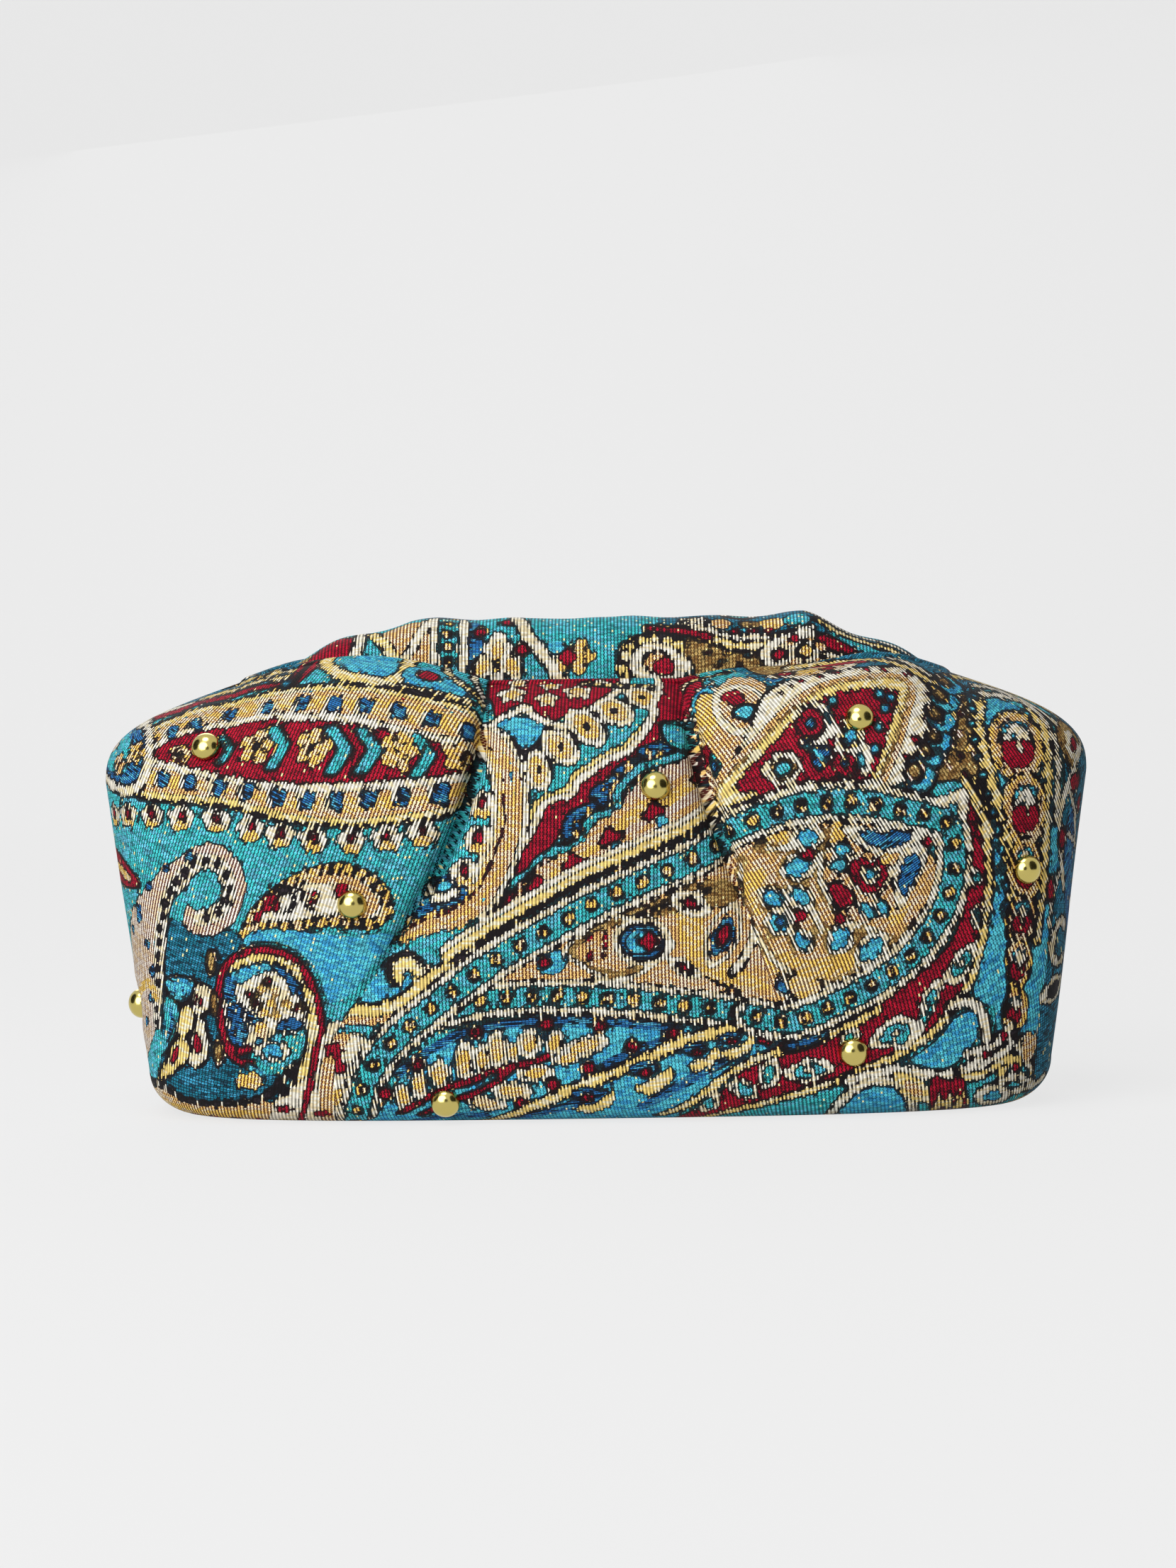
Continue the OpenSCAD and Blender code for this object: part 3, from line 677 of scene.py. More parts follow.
    for u, v, size in [(-2, 14, 1.0), (15.5, 21.5, 1.0), (30.5, 27.6, 0.85), (41, 31, 0.8)]:
        p.disc(u - 2, v + 3.2 * size, "navy", 4.6 * size, 2.4 * size)
        p.shape([(u - 5.4 * size, v - 2.4 * size), (u + 0.6 * size, v - 0.4 * size),
                 (u + 5.4 * size, v + 3.6 * size), (u + 6.2 * size, v), (u, v - 4.6 * size)], "fringe")
        p.disc(u - 1.5 * size, v + 1.8 * size, "crimson", 2.2 * size, 1.5 * size)


def paintRightPanel(p):
    # light zone beside the pleat, with an eye
    p.shape([(26, 162), (32, 146), (37, 141), (42, 146), (49, 142), (52, 134), (50, 125), (46, 118),
             (40, 110), (33, 100), (28, 110), (26, 130)], "lattice")
    p.shape([(26, 162), (24, 140), (28, 128), (31, 134), (33, 150)], "crimson")
    p.leaf((28.5, 129.5), (36.5, 144.5), 7.6, (1, "comb"), (0.8, "aqua"), (0.4, "navy"))
    p.shape([(31, 136), (35, 138), (39, 131), (36, 122), (31, 121)], "gold")
    p.disc(43.6, 131, "comb", 7.6, 10.4, 20)
    p.disc(44, 131, "lattice", 5.6, 7.6, 20)
    p.shape([(38.5, 137), (43, 137.5), (46, 134), (44.5, 130.5), (40.5, 131.5)], "crimson")
    p.shape([(41.5, 130), (46, 132), (50, 129), (47.5, 125.5), (43, 126)], "black")
    p.shape([(42, 129.6), (46, 131), (48.8, 129), (47, 126.6), (43.4, 127)], "aqua")
    p.rim([(37.5, 108), (43, 115), (48, 122.6), (52, 130)], 2.4)
    p.beads([(38, 109), (43, 116), (48, 123.6)], "black", 1.5, 3)
    p.leaf((34.5, 118), (38.5, 109), 5.6, (1, "black"), (0.85, "teal"), (0.45, "navy"))
    p.shape([(30, 121), (34.5, 119.5), (35, 116), (31, 114.5)], "crimson")
    beadedLip(p)
    # strip under the lip
    p.shape([(46, 164), (50, 140), (56, 137), (64, 139), (76, 140), (90, 139), (100, 136), (108, 132),
             (116, 140), (114, 164)], "deep")
    p.shape([(46, 164), (49, 148), (56, 145), (62, 150), (60, 164)], "olive")
    p.shape([(51.5, 141.6), (54.6, 138.6), (57.6, 140.4), (55, 145.4)], "navy")
    p.leaf((52, 144), (80, 145.6), 10.4, (1, "comb"), (0.74, "lattice"))
    for u, v, rx in [(57.6, 144.6, 2.8), (64.4, 145, 3.4), (70.6, 145.2, 2.4)]:
        p.berry(u, v, "crimson" if rx < 3 else "gold", 0.7, rx, rx * 0.7, dark="olive")
    p.leaf((64, 151.6), (84, 147.4), 5, (1, "crimson"))
    p.rim([(58, 153), (68, 154), (82, 150.6), (94, 146), (104, 141)], 1.6, "fringe")
    p.leaf((84, 143.4), (97, 141), 4.6, (1, "olive"), (0.6, "teal"))
    p.rim([(90, 152), (100, 147), (110, 140)], 1.5)
    # light band with dots round the crimson triangle
    outer = [(33, 101), (37, 108.5), (43, 116.5), (47, 124), (50.5, 132.2), (56, 136.8), (62.5, 139),
             (70, 140.8), (78.5, 142), (87.5, 143.3), (94.5, 144), (100, 140), (102.4, 133.6),
             (101.4, 127.2), (98.8, 121.2), (95.8, 114.8), (92.5, 108.6)]
    gold = [(33, 102), (38, 108.4), (45.5, 115.5), (52.5, 122), (58.5, 127.2), (64.5, 131.2), (70.5, 133.9),
            (78.5, 135.7), (85.5, 137.4), (92, 138.8), (94.8, 136.8), (94.6, 133.2), (92.6, 127.6),
            (91, 122.3), (88.5, 116.5), (85, 109.6)]
    heart = [(40.6, 107), (47.6, 114.2), (53.8, 119.6), (59.8, 124.9), (64.8, 128.4), (70.7, 131.2),
             (77, 132.6), (83.5, 133.2), (89, 134), (92, 133.8), (91, 129.6), (89.2, 124.8), (87.2, 120),
             (85.4, 115), (82, 109), (68, 107.6), (54, 105)]
    p.poly(np.concatenate([smooth(outer), [(70, 104), (45, 100)]]), "comb")
    p.stroke(outer, "black", 0.9, 0.4)
    for u, v in [(56, 133.6), (59, 135.8), (62.5, 137.8), (68, 138.8), (73, 140.2), (82, 141.6), (87.5, 142),
                 (95, 142), (100.4, 135), (98.6, 126.6), (95.8, 120.2), (92.8, 114.8)]:
        p.rosette(u, v, "crimson", 1.4, 1.2, 4, 0.2)
    p.stroke(gold, "lattice", 1.8, 1.2)
    p.poly(np.concatenate([smooth(gold), [(60, 104)]]), "fringe")
    p.stroke(gold, "olive", 0.9)
    p.poly(np.array(heart, float), "crimson")
    # scrolled flowers in the triangle
    for points in ([(62, 127), (65.5, 128), (69.5, 126.5), (70.4, 121.5), (67, 119.5), (63, 119.6)],
                   [(71, 115), (73.5, 117), (77.5, 117.5), (81, 116), (81, 111.5)]):
        p.stroke(points, "comb", 2.6)
    for a, b, width in [((67.6, 128.4), (71.4, 120.8), 4.4), ((77, 117.4), (81, 110), 4)]:
        p.leaf(a, b, width, (1, "comb"), (0.72, "aqua"), full=0.6)
    for u, v, r in [(64.6, 123.6, 3.9), (74.4, 113.4, 3.4)]:
        p.berry(u, v, "crimson", 0.6, r)
        p.disc(u, v - 0.3, "navy", r * 0.46, r * 0.38)
    for yarn, rx, ry in (("comb", 5.2, 4), ("fringe", 4, 3), ("black", 2.9, 2.2), ("aqua", 2.3, 1.7)):
        p.rosette(76.5, 120, yarn, rx, ry, 4, 0.1, 45)
    p.shape([(60.4, 118), (63.5, 119.8), (66.5, 118), (70, 117.4), (70, 114.5), (67.5, 111.4), (64.6, 113.4),
             (64, 116)], "navy")
    p.stroke([(62, 118), (66, 116), (68.6, 113.4)], "aqua", 1.5)
    p.leaf((49.5, 111.3), (62.5, 113), 8.4, (1, "comb"), (0.7, "olive"), (0.46, "teal"))
    for u, v in [(71.5, 129.2), (85.5, 131.6), (89, 131), (87, 127.6), (85, 122.4), (83.5, 116.7)]:
        p.rosette(u, v, "aqua", 1.6, 1.4, 4, 0.2, 45)
    # olive field and teal crescents
    p.shape([(96, 106), (103.5, 108.5), (110, 108.5), (113.5, 105), (117, 96), (119.5, 84.5), (121.5, 73.5),
             (122.5, 62), (125, 66), (124.5, 78), (122.5, 92), (119, 105), (115, 116.5), (114.5, 128.5),
             (114, 140), (110, 150), (104, 140), (106, 130), (104, 118)], "olive")
    for k, yarn in enumerate(("black", "fringe", "black")):
        p.stroke([(112 + 1.5 * k, 110), (115.4 + 1.5 * k, 102), (118.4 + 1.3 * k, 90), (120.6 + 1.2 * k, 77),
                  (122 + k, 62)], yarn, 1)
    for u, v, yarn in [
            (106, 112.6, "cream"), (109.6, 116.6, "crimson"), (110, 124, "cream"), (107, 119.4, "crimson"),
            (111, 131, "crimson"), (110.6, 111, "crimson"), (112.4, 119, "gold")]:
        p.rosette(u, v, yarn, 1.3, 1.1, 4, 0.2)
    for u, v, r in [(96.8, 110.5, 4.8), (100.8, 117, 4.2), (103.2, 121.2, 4), (104, 128.2, 4.8),
                    (106.2, 136, 5), (109, 143.5, 4.6)]:
        p.berry(u, v, "aqua", 0.7, r)
        p.disc(u - 1.4, v + 0.6, "black", r * 0.6)
        p.disc(u - 1.6, v + 0.8, "olive", r * 0.44)
    # crimson band with leaves round the boteh
    p.shape([
        (110, 107), (113.5, 100), (116.6, 90), (117.4, 80), (116.6, 70), (115, 58), (111.5, 48), (105, 39),
        (97, 32), (87, 27), (76, 22.5), (64, 18), (50, 13.5), (36, 8), (20, -2), (26, 8), (36, 17), (44, 25),
        (50, 29.5), (58, 33), (74, 39), (88, 46), (100, 54), (108, 64), (112, 78), (112, 92)], "crimson")
    p.rim([(111, 109), (115, 100), (117.6, 90), (118.4, 80), (117.6, 70), (115.6, 58), (112, 47.5),
           (105.5, 38.5), (97.5, 31.3), (87.5, 26.3), (76.5, 21.8), (64, 17.3), (50, 12.7), (36, 7),
           (24, -3)], 1.8, "fringe", dark=0.5)
    p.rim([(18, 7), (30, 15.5), (40, 23.5), (50, 28), (62, 31), (72, 35.4), (84, 41)], 1.8, "fringe",
          dark=0.5)
    for outline in (
            [(114.5, 72.5), (115.7, 68), (114, 63.6), (112.4, 67.5)],
            [(113.8, 60.4), (114.2, 56.5), (110.5, 49.6), (105.6, 48), (105.3, 53), (109, 57.7)],
            [(103.8, 50), (102.2, 42.5), (98.5, 35.6), (95.6, 32.4), (96.2, 39.5), (98.3, 46)],
            [(94.7, 37), (95.2, 32.5), (92.5, 28.8), (87.5, 29.6), (80.9, 29.6), (82.8, 34.7), (87.5, 37.8),
             (91.5, 38.9)], [(70.9, 24), (65.5, 20.6), (60, 19.2), (55.4, 22.5), (60, 25.9), (64.5, 26.9)]):
        p.rings(outline, np.mean(outline, axis=0), (1.04, "comb"), (0.66, "teal"), (0.26, "comb"))
    for a, b, width in [
            ((48.6, 17), (53, 27.4), 5.4), ((38.6, 20.6), (48, 14.6), 5), ((29.6, 8.6), (36, 17), 5),
            ((71.4, 30.2), (78.6, 35), 4), ((113.4, 83), (115.4, 77), 3)]:
        p.leaf(a, b, width + 1, (1, "comb"), (0.62, "teal"))
    p.leaf((54, 29.5), (72, 37.5), 5.6, (1, "black"), (0.88, "navy"))
    p.rosette(50, 33.6, "crimson", 3, 2.6, 5, 0.2)
    # large boteh: golden heart, then its dotted border
    p.shape([(40, 88), (50, 93), (62, 96.5), (74, 97.5), (86, 96), (96, 92), (101, 86), (102, 79),
             (99.5, 71), (95, 64), (88, 57), (79, 52), (68, 48), (58, 44), (46, 44), (38, 60)], "lattice")
    for points in ([(45, 82.5), (50, 84.5), (52, 78), (51.5, 73), (48, 69.5), (44.5, 75)],
                   [(87, 70.5), (94, 73.5), (91.6, 68), (88, 66)],
                   [(49.5, 58), (56, 59.4), (62, 56.5), (75.5, 57.5), (76.5, 52.5), (65, 51), (54, 52)],
                   [(47, 90), (54, 95), (60, 95.4), (57, 91.4)], [(70, 97), (75, 96.6), (75, 92), (69, 92)]):
        p.shape(points, "gold")
    for points in (
            [(67.5, 90), (66.4, 81.5), (68.5, 75), (74.5, 68), (83.5, 64.5), (89.5, 60.5)],
            [(44, 86.5), (42.6, 80), (43.8, 72), (47.5, 64.5), (52.5, 57), (59, 52), (69.5, 48.6)],
            [(49, 90.5), (56.5, 90), (65, 91), (68.5, 94)], [(64.4, 72), (66.4, 66), (70, 60)],
            [(102.6, 93.5), (103, 85.5), (101.5, 77), (97, 68.5), (90, 61), (81.5, 54.5), (70.5, 49)]):
        p.band(points, (3.2, "olive"), (1.4, "comb"))
    # its flower with blue leaves
    for outline, hub in (
            ([(74.6, 96), (78, 91.6), (83.5, 88.4), (91.5, 89.2), (96.6, 93), (91.5, 96.4), (85.5, 95)],
             (86, 92.2)),
            ([(97.4, 89.4), (92, 87.8), (89, 81), (90.6, 72), (95.6, 79.6), (98, 84.4)], (93.4, 82))):
        p.rings(outline, hub, (1.2, "black"), (1.1, "comb"), (0.78, "navy"))
    p.shape([(68.4, 78.6), (72, 80.4), (76, 78), (77.6, 73), (73.6, 70.8), (70, 73.6)], "black")
    p.shape([(69.2, 78), (72, 79.5), (75.5, 77.5), (76.6, 73.2), (73.5, 71.7), (70.6, 74)], "crimson")
    for a, b, width in [((68.4, 84.4), (76.4, 85.4), 5.6), ((69, 90), (77, 88.4), 4.8),
                        ((77.6, 73.4), (83.4, 68.4), 4.6), ((83, 74.6), (87, 68.6), 4.4)]:
        p.edgedLeaf(a, b, width, 1.2, (1, "comb"), (0.76, "aqua"))
    p.rings([(75.5, 84.5), (78, 87.4), (81.5, 85.6), (85, 87.4), (87.8, 83), (86.2, 78.6), (82, 75.6),
             (77.3, 78.2)], (81.4, 81.6), (1.2, "black"), (1.1, "comb"), (0.94, "crimson"), (0.52, "black"),
            (0.44, "comb"), (0.3, "aqua"))
    p.rosette(86.6, 86, "gold", 1.9, 1.7, 5, 0.2)
    p.disc(99.3, 91.4, "crimson", 1.8, 1.6)
    # small leaves and flowers beside it
    for a, b, width in [
            ((57.6, 92.6), (68.4, 93.6), 6), ((54.4, 82.6), (66, 86), 6.4), ((48, 77.6), (57.4, 72.6), 5.2),
            ((56.6, 78.6), (64.8, 71.8), 5.2), ((58.8, 66), (63.6, 58.6), 4.8),
            ((69.2, 58), (75.8, 67.4), 6.4), ((77, 54.6), (87, 63.8), 7)]:
        p.leaf(a, b, width + 3, (1.12, "olive"), full=0.9)
        p.leaf(a, b, width + 1.4, (1.04, "comb"), (0.74, "aqua"), full=0.9)
    for yarn, rx, ry in (("olive", 5.2, 4.8), ("comb", 4.5, 4.1), ("aqua", 3.1, 2.8), ("navy", 1.5, 1.3)):
        p.rosette(54.5, 68, yarn, rx, ry, 6, 0.12)
    for u, v in [(60.5, 69.6), (72.6, 68.6), (63, 88)]:
        p.rosette(u, v, "crimson", 2.1, 1.9, 5, 0.2)
    p.disc(61, 48.4, "black", 5.4, 4.4)
    p.disc(61.4, 48.8, "gold", 4.6, 3.6)
    p.leaf((53, 52), (57, 44.5), 4.4, (1, "comb"), (0.66, "navy"))
    border = [(24, 84), (34, 90.5), (42, 96), (52, 100), (62, 102.6), (72, 103.3), (82, 102.6), (92, 100.3),
              (101, 98.4), (106.3, 95), (107.3, 87), (106.6, 79), (104, 71), (99.6, 63.6), (94, 57),
              (87, 51.6), (79, 46.8), (70, 42.6), (62, 39.3), (55, 38.2), (46, 40)]
    p.dottedBand(border, 7, 7.4, 5)
    p.poly([(99, 103), (107, 105.5), (111, 107), (111.5, 96), (108.5, 97), (106, 100.5)], "comb")
    p.poly([(104, 101), (108, 103), (109.2, 98.5)], "teal")
    # column of ovals
    p.shape([(114, 140), (122, 140), (134, 132), (142, 118), (145, 104), (146, 88), (143, 70), (139, 50),
             (136, 26), (122, 26), (122, 60), (120, 84), (119, 104), (116, 124)], "aqua")
    leftEdge = [(119, 140), (116.4, 131), (116.4, 120.5), (118.6, 110.5), (121.6, 100), (124.4, 89),
                (126, 77.5), (126, 66), (126.4, 55), (127, 44), (127, 32), (124, 20)]
    rightEdge = [(136, 132), (138.5, 124.5), (139, 115.5), (139, 105.5), (138.8, 94), (138.5, 84),
                 (137.5, 72.5), (135.5, 60)]
    for edge in (leftEdge, rightEdge):
        p.rim(edge, 3.2, "fringe")
        for u, v, turn in spacedAlong(edge, 5.8, 1):
            p.tile(u - 2, v, "black", 3.4, 3.6, turn)
            p.tile(u - 2, v, "aqua", 2.2, 2.4, turn)
    for off in (0, 4):
        p.rim([(119, 140.5 + off), (128, 139 + off), (136, 136 + off / 2), (141 + off, 128),
               (143 + off, 118), (144 + off, 107), (143.4 + off, 95)], 1.5)
    for u, v, rx, ry, turn in [(128.4, 120.5, 9, 11.8, 8), (131, 100, 7.8, 10.4, 8), (131.5, 82, 6.2, 9, 4),
                               (130, 67, 5.2, 7, 0), (128.8, 53, 4.6, 7, 0), (128, 39, 4.2, 6.4, 0)]:
        p.berry(u, v, "gold", 0.7, rx, ry, turn)
        p.disc(u, v, "lattice", rx * 0.86, ry * 0.87, turn)
        p.disc(u, v, "black", rx * 0.72, ry * 0.74, turn)
        p.disc(u, v - ry * 0.22, "crimson", rx * 0.66, ry * 0.5, turn)
        p.disc(u, v + ry * 0.4, "aqua", rx * 0.56, ry * 0.3, turn)
        p.stroke([(u - rx * 0.4, v + ry * 0.16), (u, v + ry * 0.5), (u + rx * 0.42, v + ry * 0.16)], "comb",
                 rx * 0.22)
        p.stroke([(u + rx * 0.05, v + ry * 0.3), (u + rx * 0.1, v - ry * 0.2)], "comb", rx * 0.18)
    # dark side with branches and berries
    p.shape([(112, 148), (122, 145), (136, 141), (148, 130), (152, 120), (190, 122), (190, 166), (110, 166)],
            "deep")
    p.shape([(118, 152), (134, 147), (148, 136), (158, 128), (166, 138), (150, 152), (130, 160)], "olive")
    for points, yarn in (
            ([(112, 150), (126, 147), (140, 140), (152, 130)], "fringe"),
            ([(114, 157), (132, 153), (150, 142), (164, 130)], "comb"),
            ([(120, 162), (140, 158), (160, 146), (176, 132)], "fringe")):
        p.rim(points, 1.6, yarn)
    p.beads([(116, 154), (132, 149.6), (148, 139), (160, 129)], "crimson", 3, 8)
    p.shape([(146, 122), (152, 128), (164, 124), (190, 124), (190, -10), (140, -10), (138, 24), (140, 46),
             (143, 66), (146, 86), (147, 104)], "deep")
    for points in ([(152, 100), (160, 84), (158, 60), (150, 78)],
                   [(162, 56), (174, 40), (168, 20), (156, 34)]):
        p.shape(points, "navy")
    p.shape([(144, 122), (150, 128), (158, 122), (154, 112), (149, 112)], "olive")
    p.disc(152, 119, "comb", 4, 5, 25)
    p.disc(152.6, 119, "crimson", 2.2, 2.8)
    p.stroke([(162, 121), (153, 113), (148, 104), (146, 94), (148, 84), (150, 74)], "comb", 1.9)
    for points in ([(150, 104), (156, 98), (160, 90)], [(147, 92), (155, 90), (164, 86)],
                   [(147, 80), (143, 72), (141, 64)]):
        p.stroke(points, "comb", 1.5)
    for u, v, rx, ry in [(153.5, 107, 3.4, 3), (147.8, 90, 1.9, 3.6), (142, 75, 1.9, 3.8),
                         (160, 100, 2.2, 2.6), (168, 92, 3, 3.4), (172, 108, 3, 3)]:
        p.berry(u, v, "crimson", 0.6, rx, ry)
    p.rim([(153, 63), (149, 65), (144.5, 61), (144, 55), (148, 52), (154, 53.5)], 1.9)
    p.leaf((138.5, 41), (155, 47), 8, (1, "comb"), (0.66, "black"))
    p.stroke([(160, 70), (168, 66), (174, 58), (170, 48), (162, 44)], "comb", 1.8)
    p.beads([(158, 30), (168, 36), (178, 34)], "gold", 3.4, 7)
    # turquoise leaf and scrolls at the lower corner
    p.shape([(120.6, 75.5), (123.4, 64), (124, 54), (124, 42), (118, 41), (113.5, 45), (117, 59), (119, 68)],
            "aqua")
    p.rim([(106, 41), (111, 42.4), (115.4, 39.6), (117.8, 34), (118.4, 28)], 2.8)
    p.shape([(84, 23), (96, 27), (103, 32.5), (108, 38), (114, 39), (115.6, 33.5), (112, 27), (106, 22.6),
             (97, 21.6)], "aqua")
    p.rim([(74, 19.6), (88, 22.4), (98, 20.8), (108, 20.5), (116, 24), (123, 31)], 2.6)
    p.rim([(108, 19), (116, 19.6), (126, 24), (136, 22)], 2.2, "fringe")
    for points in ([(112, 26.4), (120, 28), (127, 34)], [(116, 22), (126, 27), (132, 30)],
                   [(126, 30), (132, 25), (136, 20)], [(122, 16), (130, 18), (138, 14)]):
        p.rim(points, 2)
    for u, v in [(124, 31), (129, 21), (118, 25.6)]:
        p.disc(u, v, "crimson", 1.6)
    p.disc(134.5, 27, "lattice", 2.8, 4.4)
    p.disc(83, 9, "aqua", 12, 10)
    p.rim([(69, 3), (71.5, 11), (76, 16.5), (83, 19.4), (90, 17.4), (94, 10), (94.5, 0)], 2.2)
    p.leaf((88, 22), (101, 10), 7, (1, "fringe"), (0.5, "lattice"))
    p.shape([(100, 19.6), (106.5, 19), (111, 17), (112, -2), (103, -4), (100, 6)], "crimson")
    for u in (101.6, 105, 108.6):
        p.leaf((u, 2), (u + 1.4, 15), 2.6, (1, "fringe"), full=1.0)
    p.beads([(101, 0), (106, 6), (111, 2)], "navy", 2, 4.4)
    p.rim([(126, 12), (136, 13), (146, 16)], 2)
    p.discs(121, 11, ("black", 7, 5.6), ("comb", 6.3, 4.9), ("aqua", 3.8, 2.6))
    p.stroke([(112, 2), (124, 3), (138, 8), (150, 10)], "gold", 2.2)


def paintBase(p):
    for row, v in enumerate((-12, -24, -36)):
        for u in np.arange(-170, 171, 16):
            p.leaf((u - 5 + 8 * (row % 2), v - 2), (u + 5 + 8 * (row % 2), v + 2), 6, (1, "cream"),
                   (0.6, "crimson"))


# half of the roll along the top, up from a seam; at gives a point's place on the whole roll
def paintRollHalf(p, at):
    def placed(points):
        return [at(*q) for q in points]

    def line(points, yarn, width):
        p.stroke(placed(points), yarn, width)

    def field(points, yarn):
        p.shape(placed(points), yarn)

    def edged(points, width, yarn="comb"):
        p.rim(placed(points), width, yarn)

    field([(-110, 0), (-96, 2), (-84, 6), (-78, 14), (-84, 24), (-110, 24)], "olive")
    field([(-90, 4), (-82, 2), (-75, 8), (-72, 16), (-76, 26), (-86, 24)], "crimson")
    edged([(-80, -2), (-76, 5), (-73, 12), (-71, 32)], 2.8)
    p.disc(*at(-69, 4), "aqua", 6, 4.2)
    edged([(-79, 6.5), (-72, 9.6), (-65.5, 7.6), (-61.5, 2.6), (-58, -3)], 2.4)
    field([(-66, 22), (-60, 8), (-53, 2), (-50, 10), (-51, 24)], "lattice")
    edged([(-68, 24), (-61, 10), (-53, -1)], 2.8, "fringe")
    edged([(-50, 26), (-55, 13), (-62, 3)], 2.6)
    for yarn, width in (("black", 11.4), ("teal", 6.6)):
        line([(-44.5, 32), (-44.5, -2)], yarn, width)
    for u in (-49, -40):
        line([(u, 32), (u, -2)], "comb", 2.2)
    for v in (2, 7, 12, 17, 23, 29):
        p.tile(*at(-44.5, v), "black", 3.6, 3.2)
        p.tile(*at(-44.5, v), "gold", 2, 2)
    field([(-38, 0), (-34, 2), (-34, 20), (-38, 24)], "navy")
    for a, b, width in [((-29.6, -1), (-29, 18), 8), ((-37, 1), (-31, 9.6), 6), ((-22, 1), (-28, 9.6), 6)]:
        p.edgedLeaf(at(*a), at(*b), width, 1.4, (1, "comb"), (0.6, "gold"))
    for u, v in [(-34.6, 18), (-37, 0.6), (-22, 10.4), (-26, 22)]:
        p.berry(*at(u, v), "crimson", 0.5, 2)
    edged([(-25, 32), (-20.5, 16), (-15.5, 9), (-9, -1)], 3.4)
    field([(22, 20), (34, 14), (44, 10), (60, 8), (84, 2), (104, -2), (108, 20), (84, 30), (60, 32),
           (30, 32), (20, 26)], "deep")
    p.blossom(*at(-5.5, 8), 10.5, "gold")
    p.rosette(*at(-8, 8.4), "crimson", 2.8, 2.6, 4, 0.2)
    p.disc(*at(-11.6, 11.6), "aqua", 3, 2.6)
    boteh = [(9, 4), (10.5, 10), (15, 13.6), (21, 14), (26.5, 11), (31, 6), (36, 1.5), (29, -1), (20, -2),
             (12, -1)]
    line(closed(boteh), "black", 4.6)
    p.beads(placed(closed(boteh)), "fringe", 3, 3.9)
    field([(10.8, 4), (12, 9), (15.6, 12), (21, 12.4), (25.6, 9.6), (30, 4), (24, 0.6), (16, 0.4)], "comb")
    field([(14.5, 5), (16.4, 9.4), (21, 10), (24.6, 7), (25.6, 3), (20, 1.4)], "black")
    field([(15.8, 5), (17, 8.4), (20.6, 8.8), (23.4, 6.4), (24, 3.4), (19.6, 2.2)], "lattice")
    p.disc(*at(21.4, 4.6), "crimson", 3.6, 3.2)
    # khaki field, then a crimson and golden stripe with a white line over it
    field([(30, 5), (33, -1), (44, -2), (54, -1), (55, 10), (46, 10.6), (36, 12.6), (28, 14)], "olive")
    for u, v, yarn in [(35, 8.6, "crimson"), (38.6, 5.4, "teal"), (41, 8.4, "gold"), (44.4, 4.6, "crimson"),
                       (47, 8, "teal"), (49.6, 4.4, "gold"), (36.4, 3.4, "gold"), (42, 2.4, "teal"),
                       (50.4, 8.4, "crimson")]:
        p.disc(*at(u, v), yarn, 1.3, 0.8)
    stripe = [(17, 18.6), (26.5, 17), (33, 14.7), (37.4, 13), (41.7, 11.4), (46, 11), (53, 12)]
    line(stripe, "black", 4.4)
    line(stripe[:4], "crimson", 2.6)
    line(stripe[3:], "fringe", 2.4)
    edged([(26.5, 20.8), (34, 17.2), (39.6, 14.8), (44, 13.8), (49.3, 15), (53.7, 14.2), (60, 15),
           (67, 17.6)], 1.5)
    for u, v, yarn, rx, ry in [
            (39.6, 20.4, "lattice", 2.8, 2.6), (55, 20.6, "gold", 4.2, 3), (48, 21, "olive", 3.4, 2.4),
            (43.7, 16.9, "crimson", 1.8, 1.3), (46.2, 17.6, "aqua", 1.6, 1.3),
            (48.8, 17.4, "crimson", 1.8, 1.3), (53.6, 17.2, "crimson", 2, 1.1),
            (62.4, 21, "teal", 4.4, 3.2)]:
        p.disc(*at(u, v), yarn, rx, ry)
    for u in (28.6, 31.4, 34.2):
        edged([(u - 1.4, 24), (u + 1.6, 19.6)], 1.3)
    # white leaf with two eyes, a crimson leaf, a teal strip and a golden line
    leafEdge = [(51.4, 8.6), (54.6, 12), (59.4, 14), (66, 14.6), (72, 12.6), (78, 11.4), (85.4, 9.4),
                (78, 6), (70, 3.6), (59, 2.6), (54, 4.6)]
    field(leafEdge, "lattice")
    edged(closed(leafEdge), 1.8)
    for u, v in ((56.6, 8), (64.6, 8.8)):
        heart = "crimson" if u < 60 else "gold"
        p.discs(*at(u, v), ("comb", 4.2, 3.8), ("black", 2.9, 2.6), (heart, 2, 1.8))
    p.disc(*at(61.4, 13), "crimson", 1.6, 1.4)
    edged([(68, 8.4), (76, 9), (84, 9.2)], 1.4)
    p.leaf(at(66.6, 14), at(82.6, 13.6), 7.4, (1, "black"), (0.84, "crimson"))
    line([(74, 19), (80, 17.4), (86, 14), (98, 9)], "teal", 5.6)
    for yarn, width in (("black", 4), ("fringe", 2.2)):
        line([(69, 22.4), (75.6, 20.4), (82, 20.4), (89.6, 19), (98, 15)], yarn, width)
    edged([(66, 27), (76, 25.4), (86, 25.4), (98, 21)], 1.6)
    p.blossom(*at(84, 6), 6.5)
    for u, v in [(92, 14), (99, 8), (105, 4)]:
        p.eye(*at(u, v), 5.6)


# the roll's back repeats its front, turned half round
def paintRoll(p):
    paintRollHalf(p, lambda u, v: (u, v))
    paintRollHalf(p, lambda u, v: (-u, plans["rollRun"] - v))


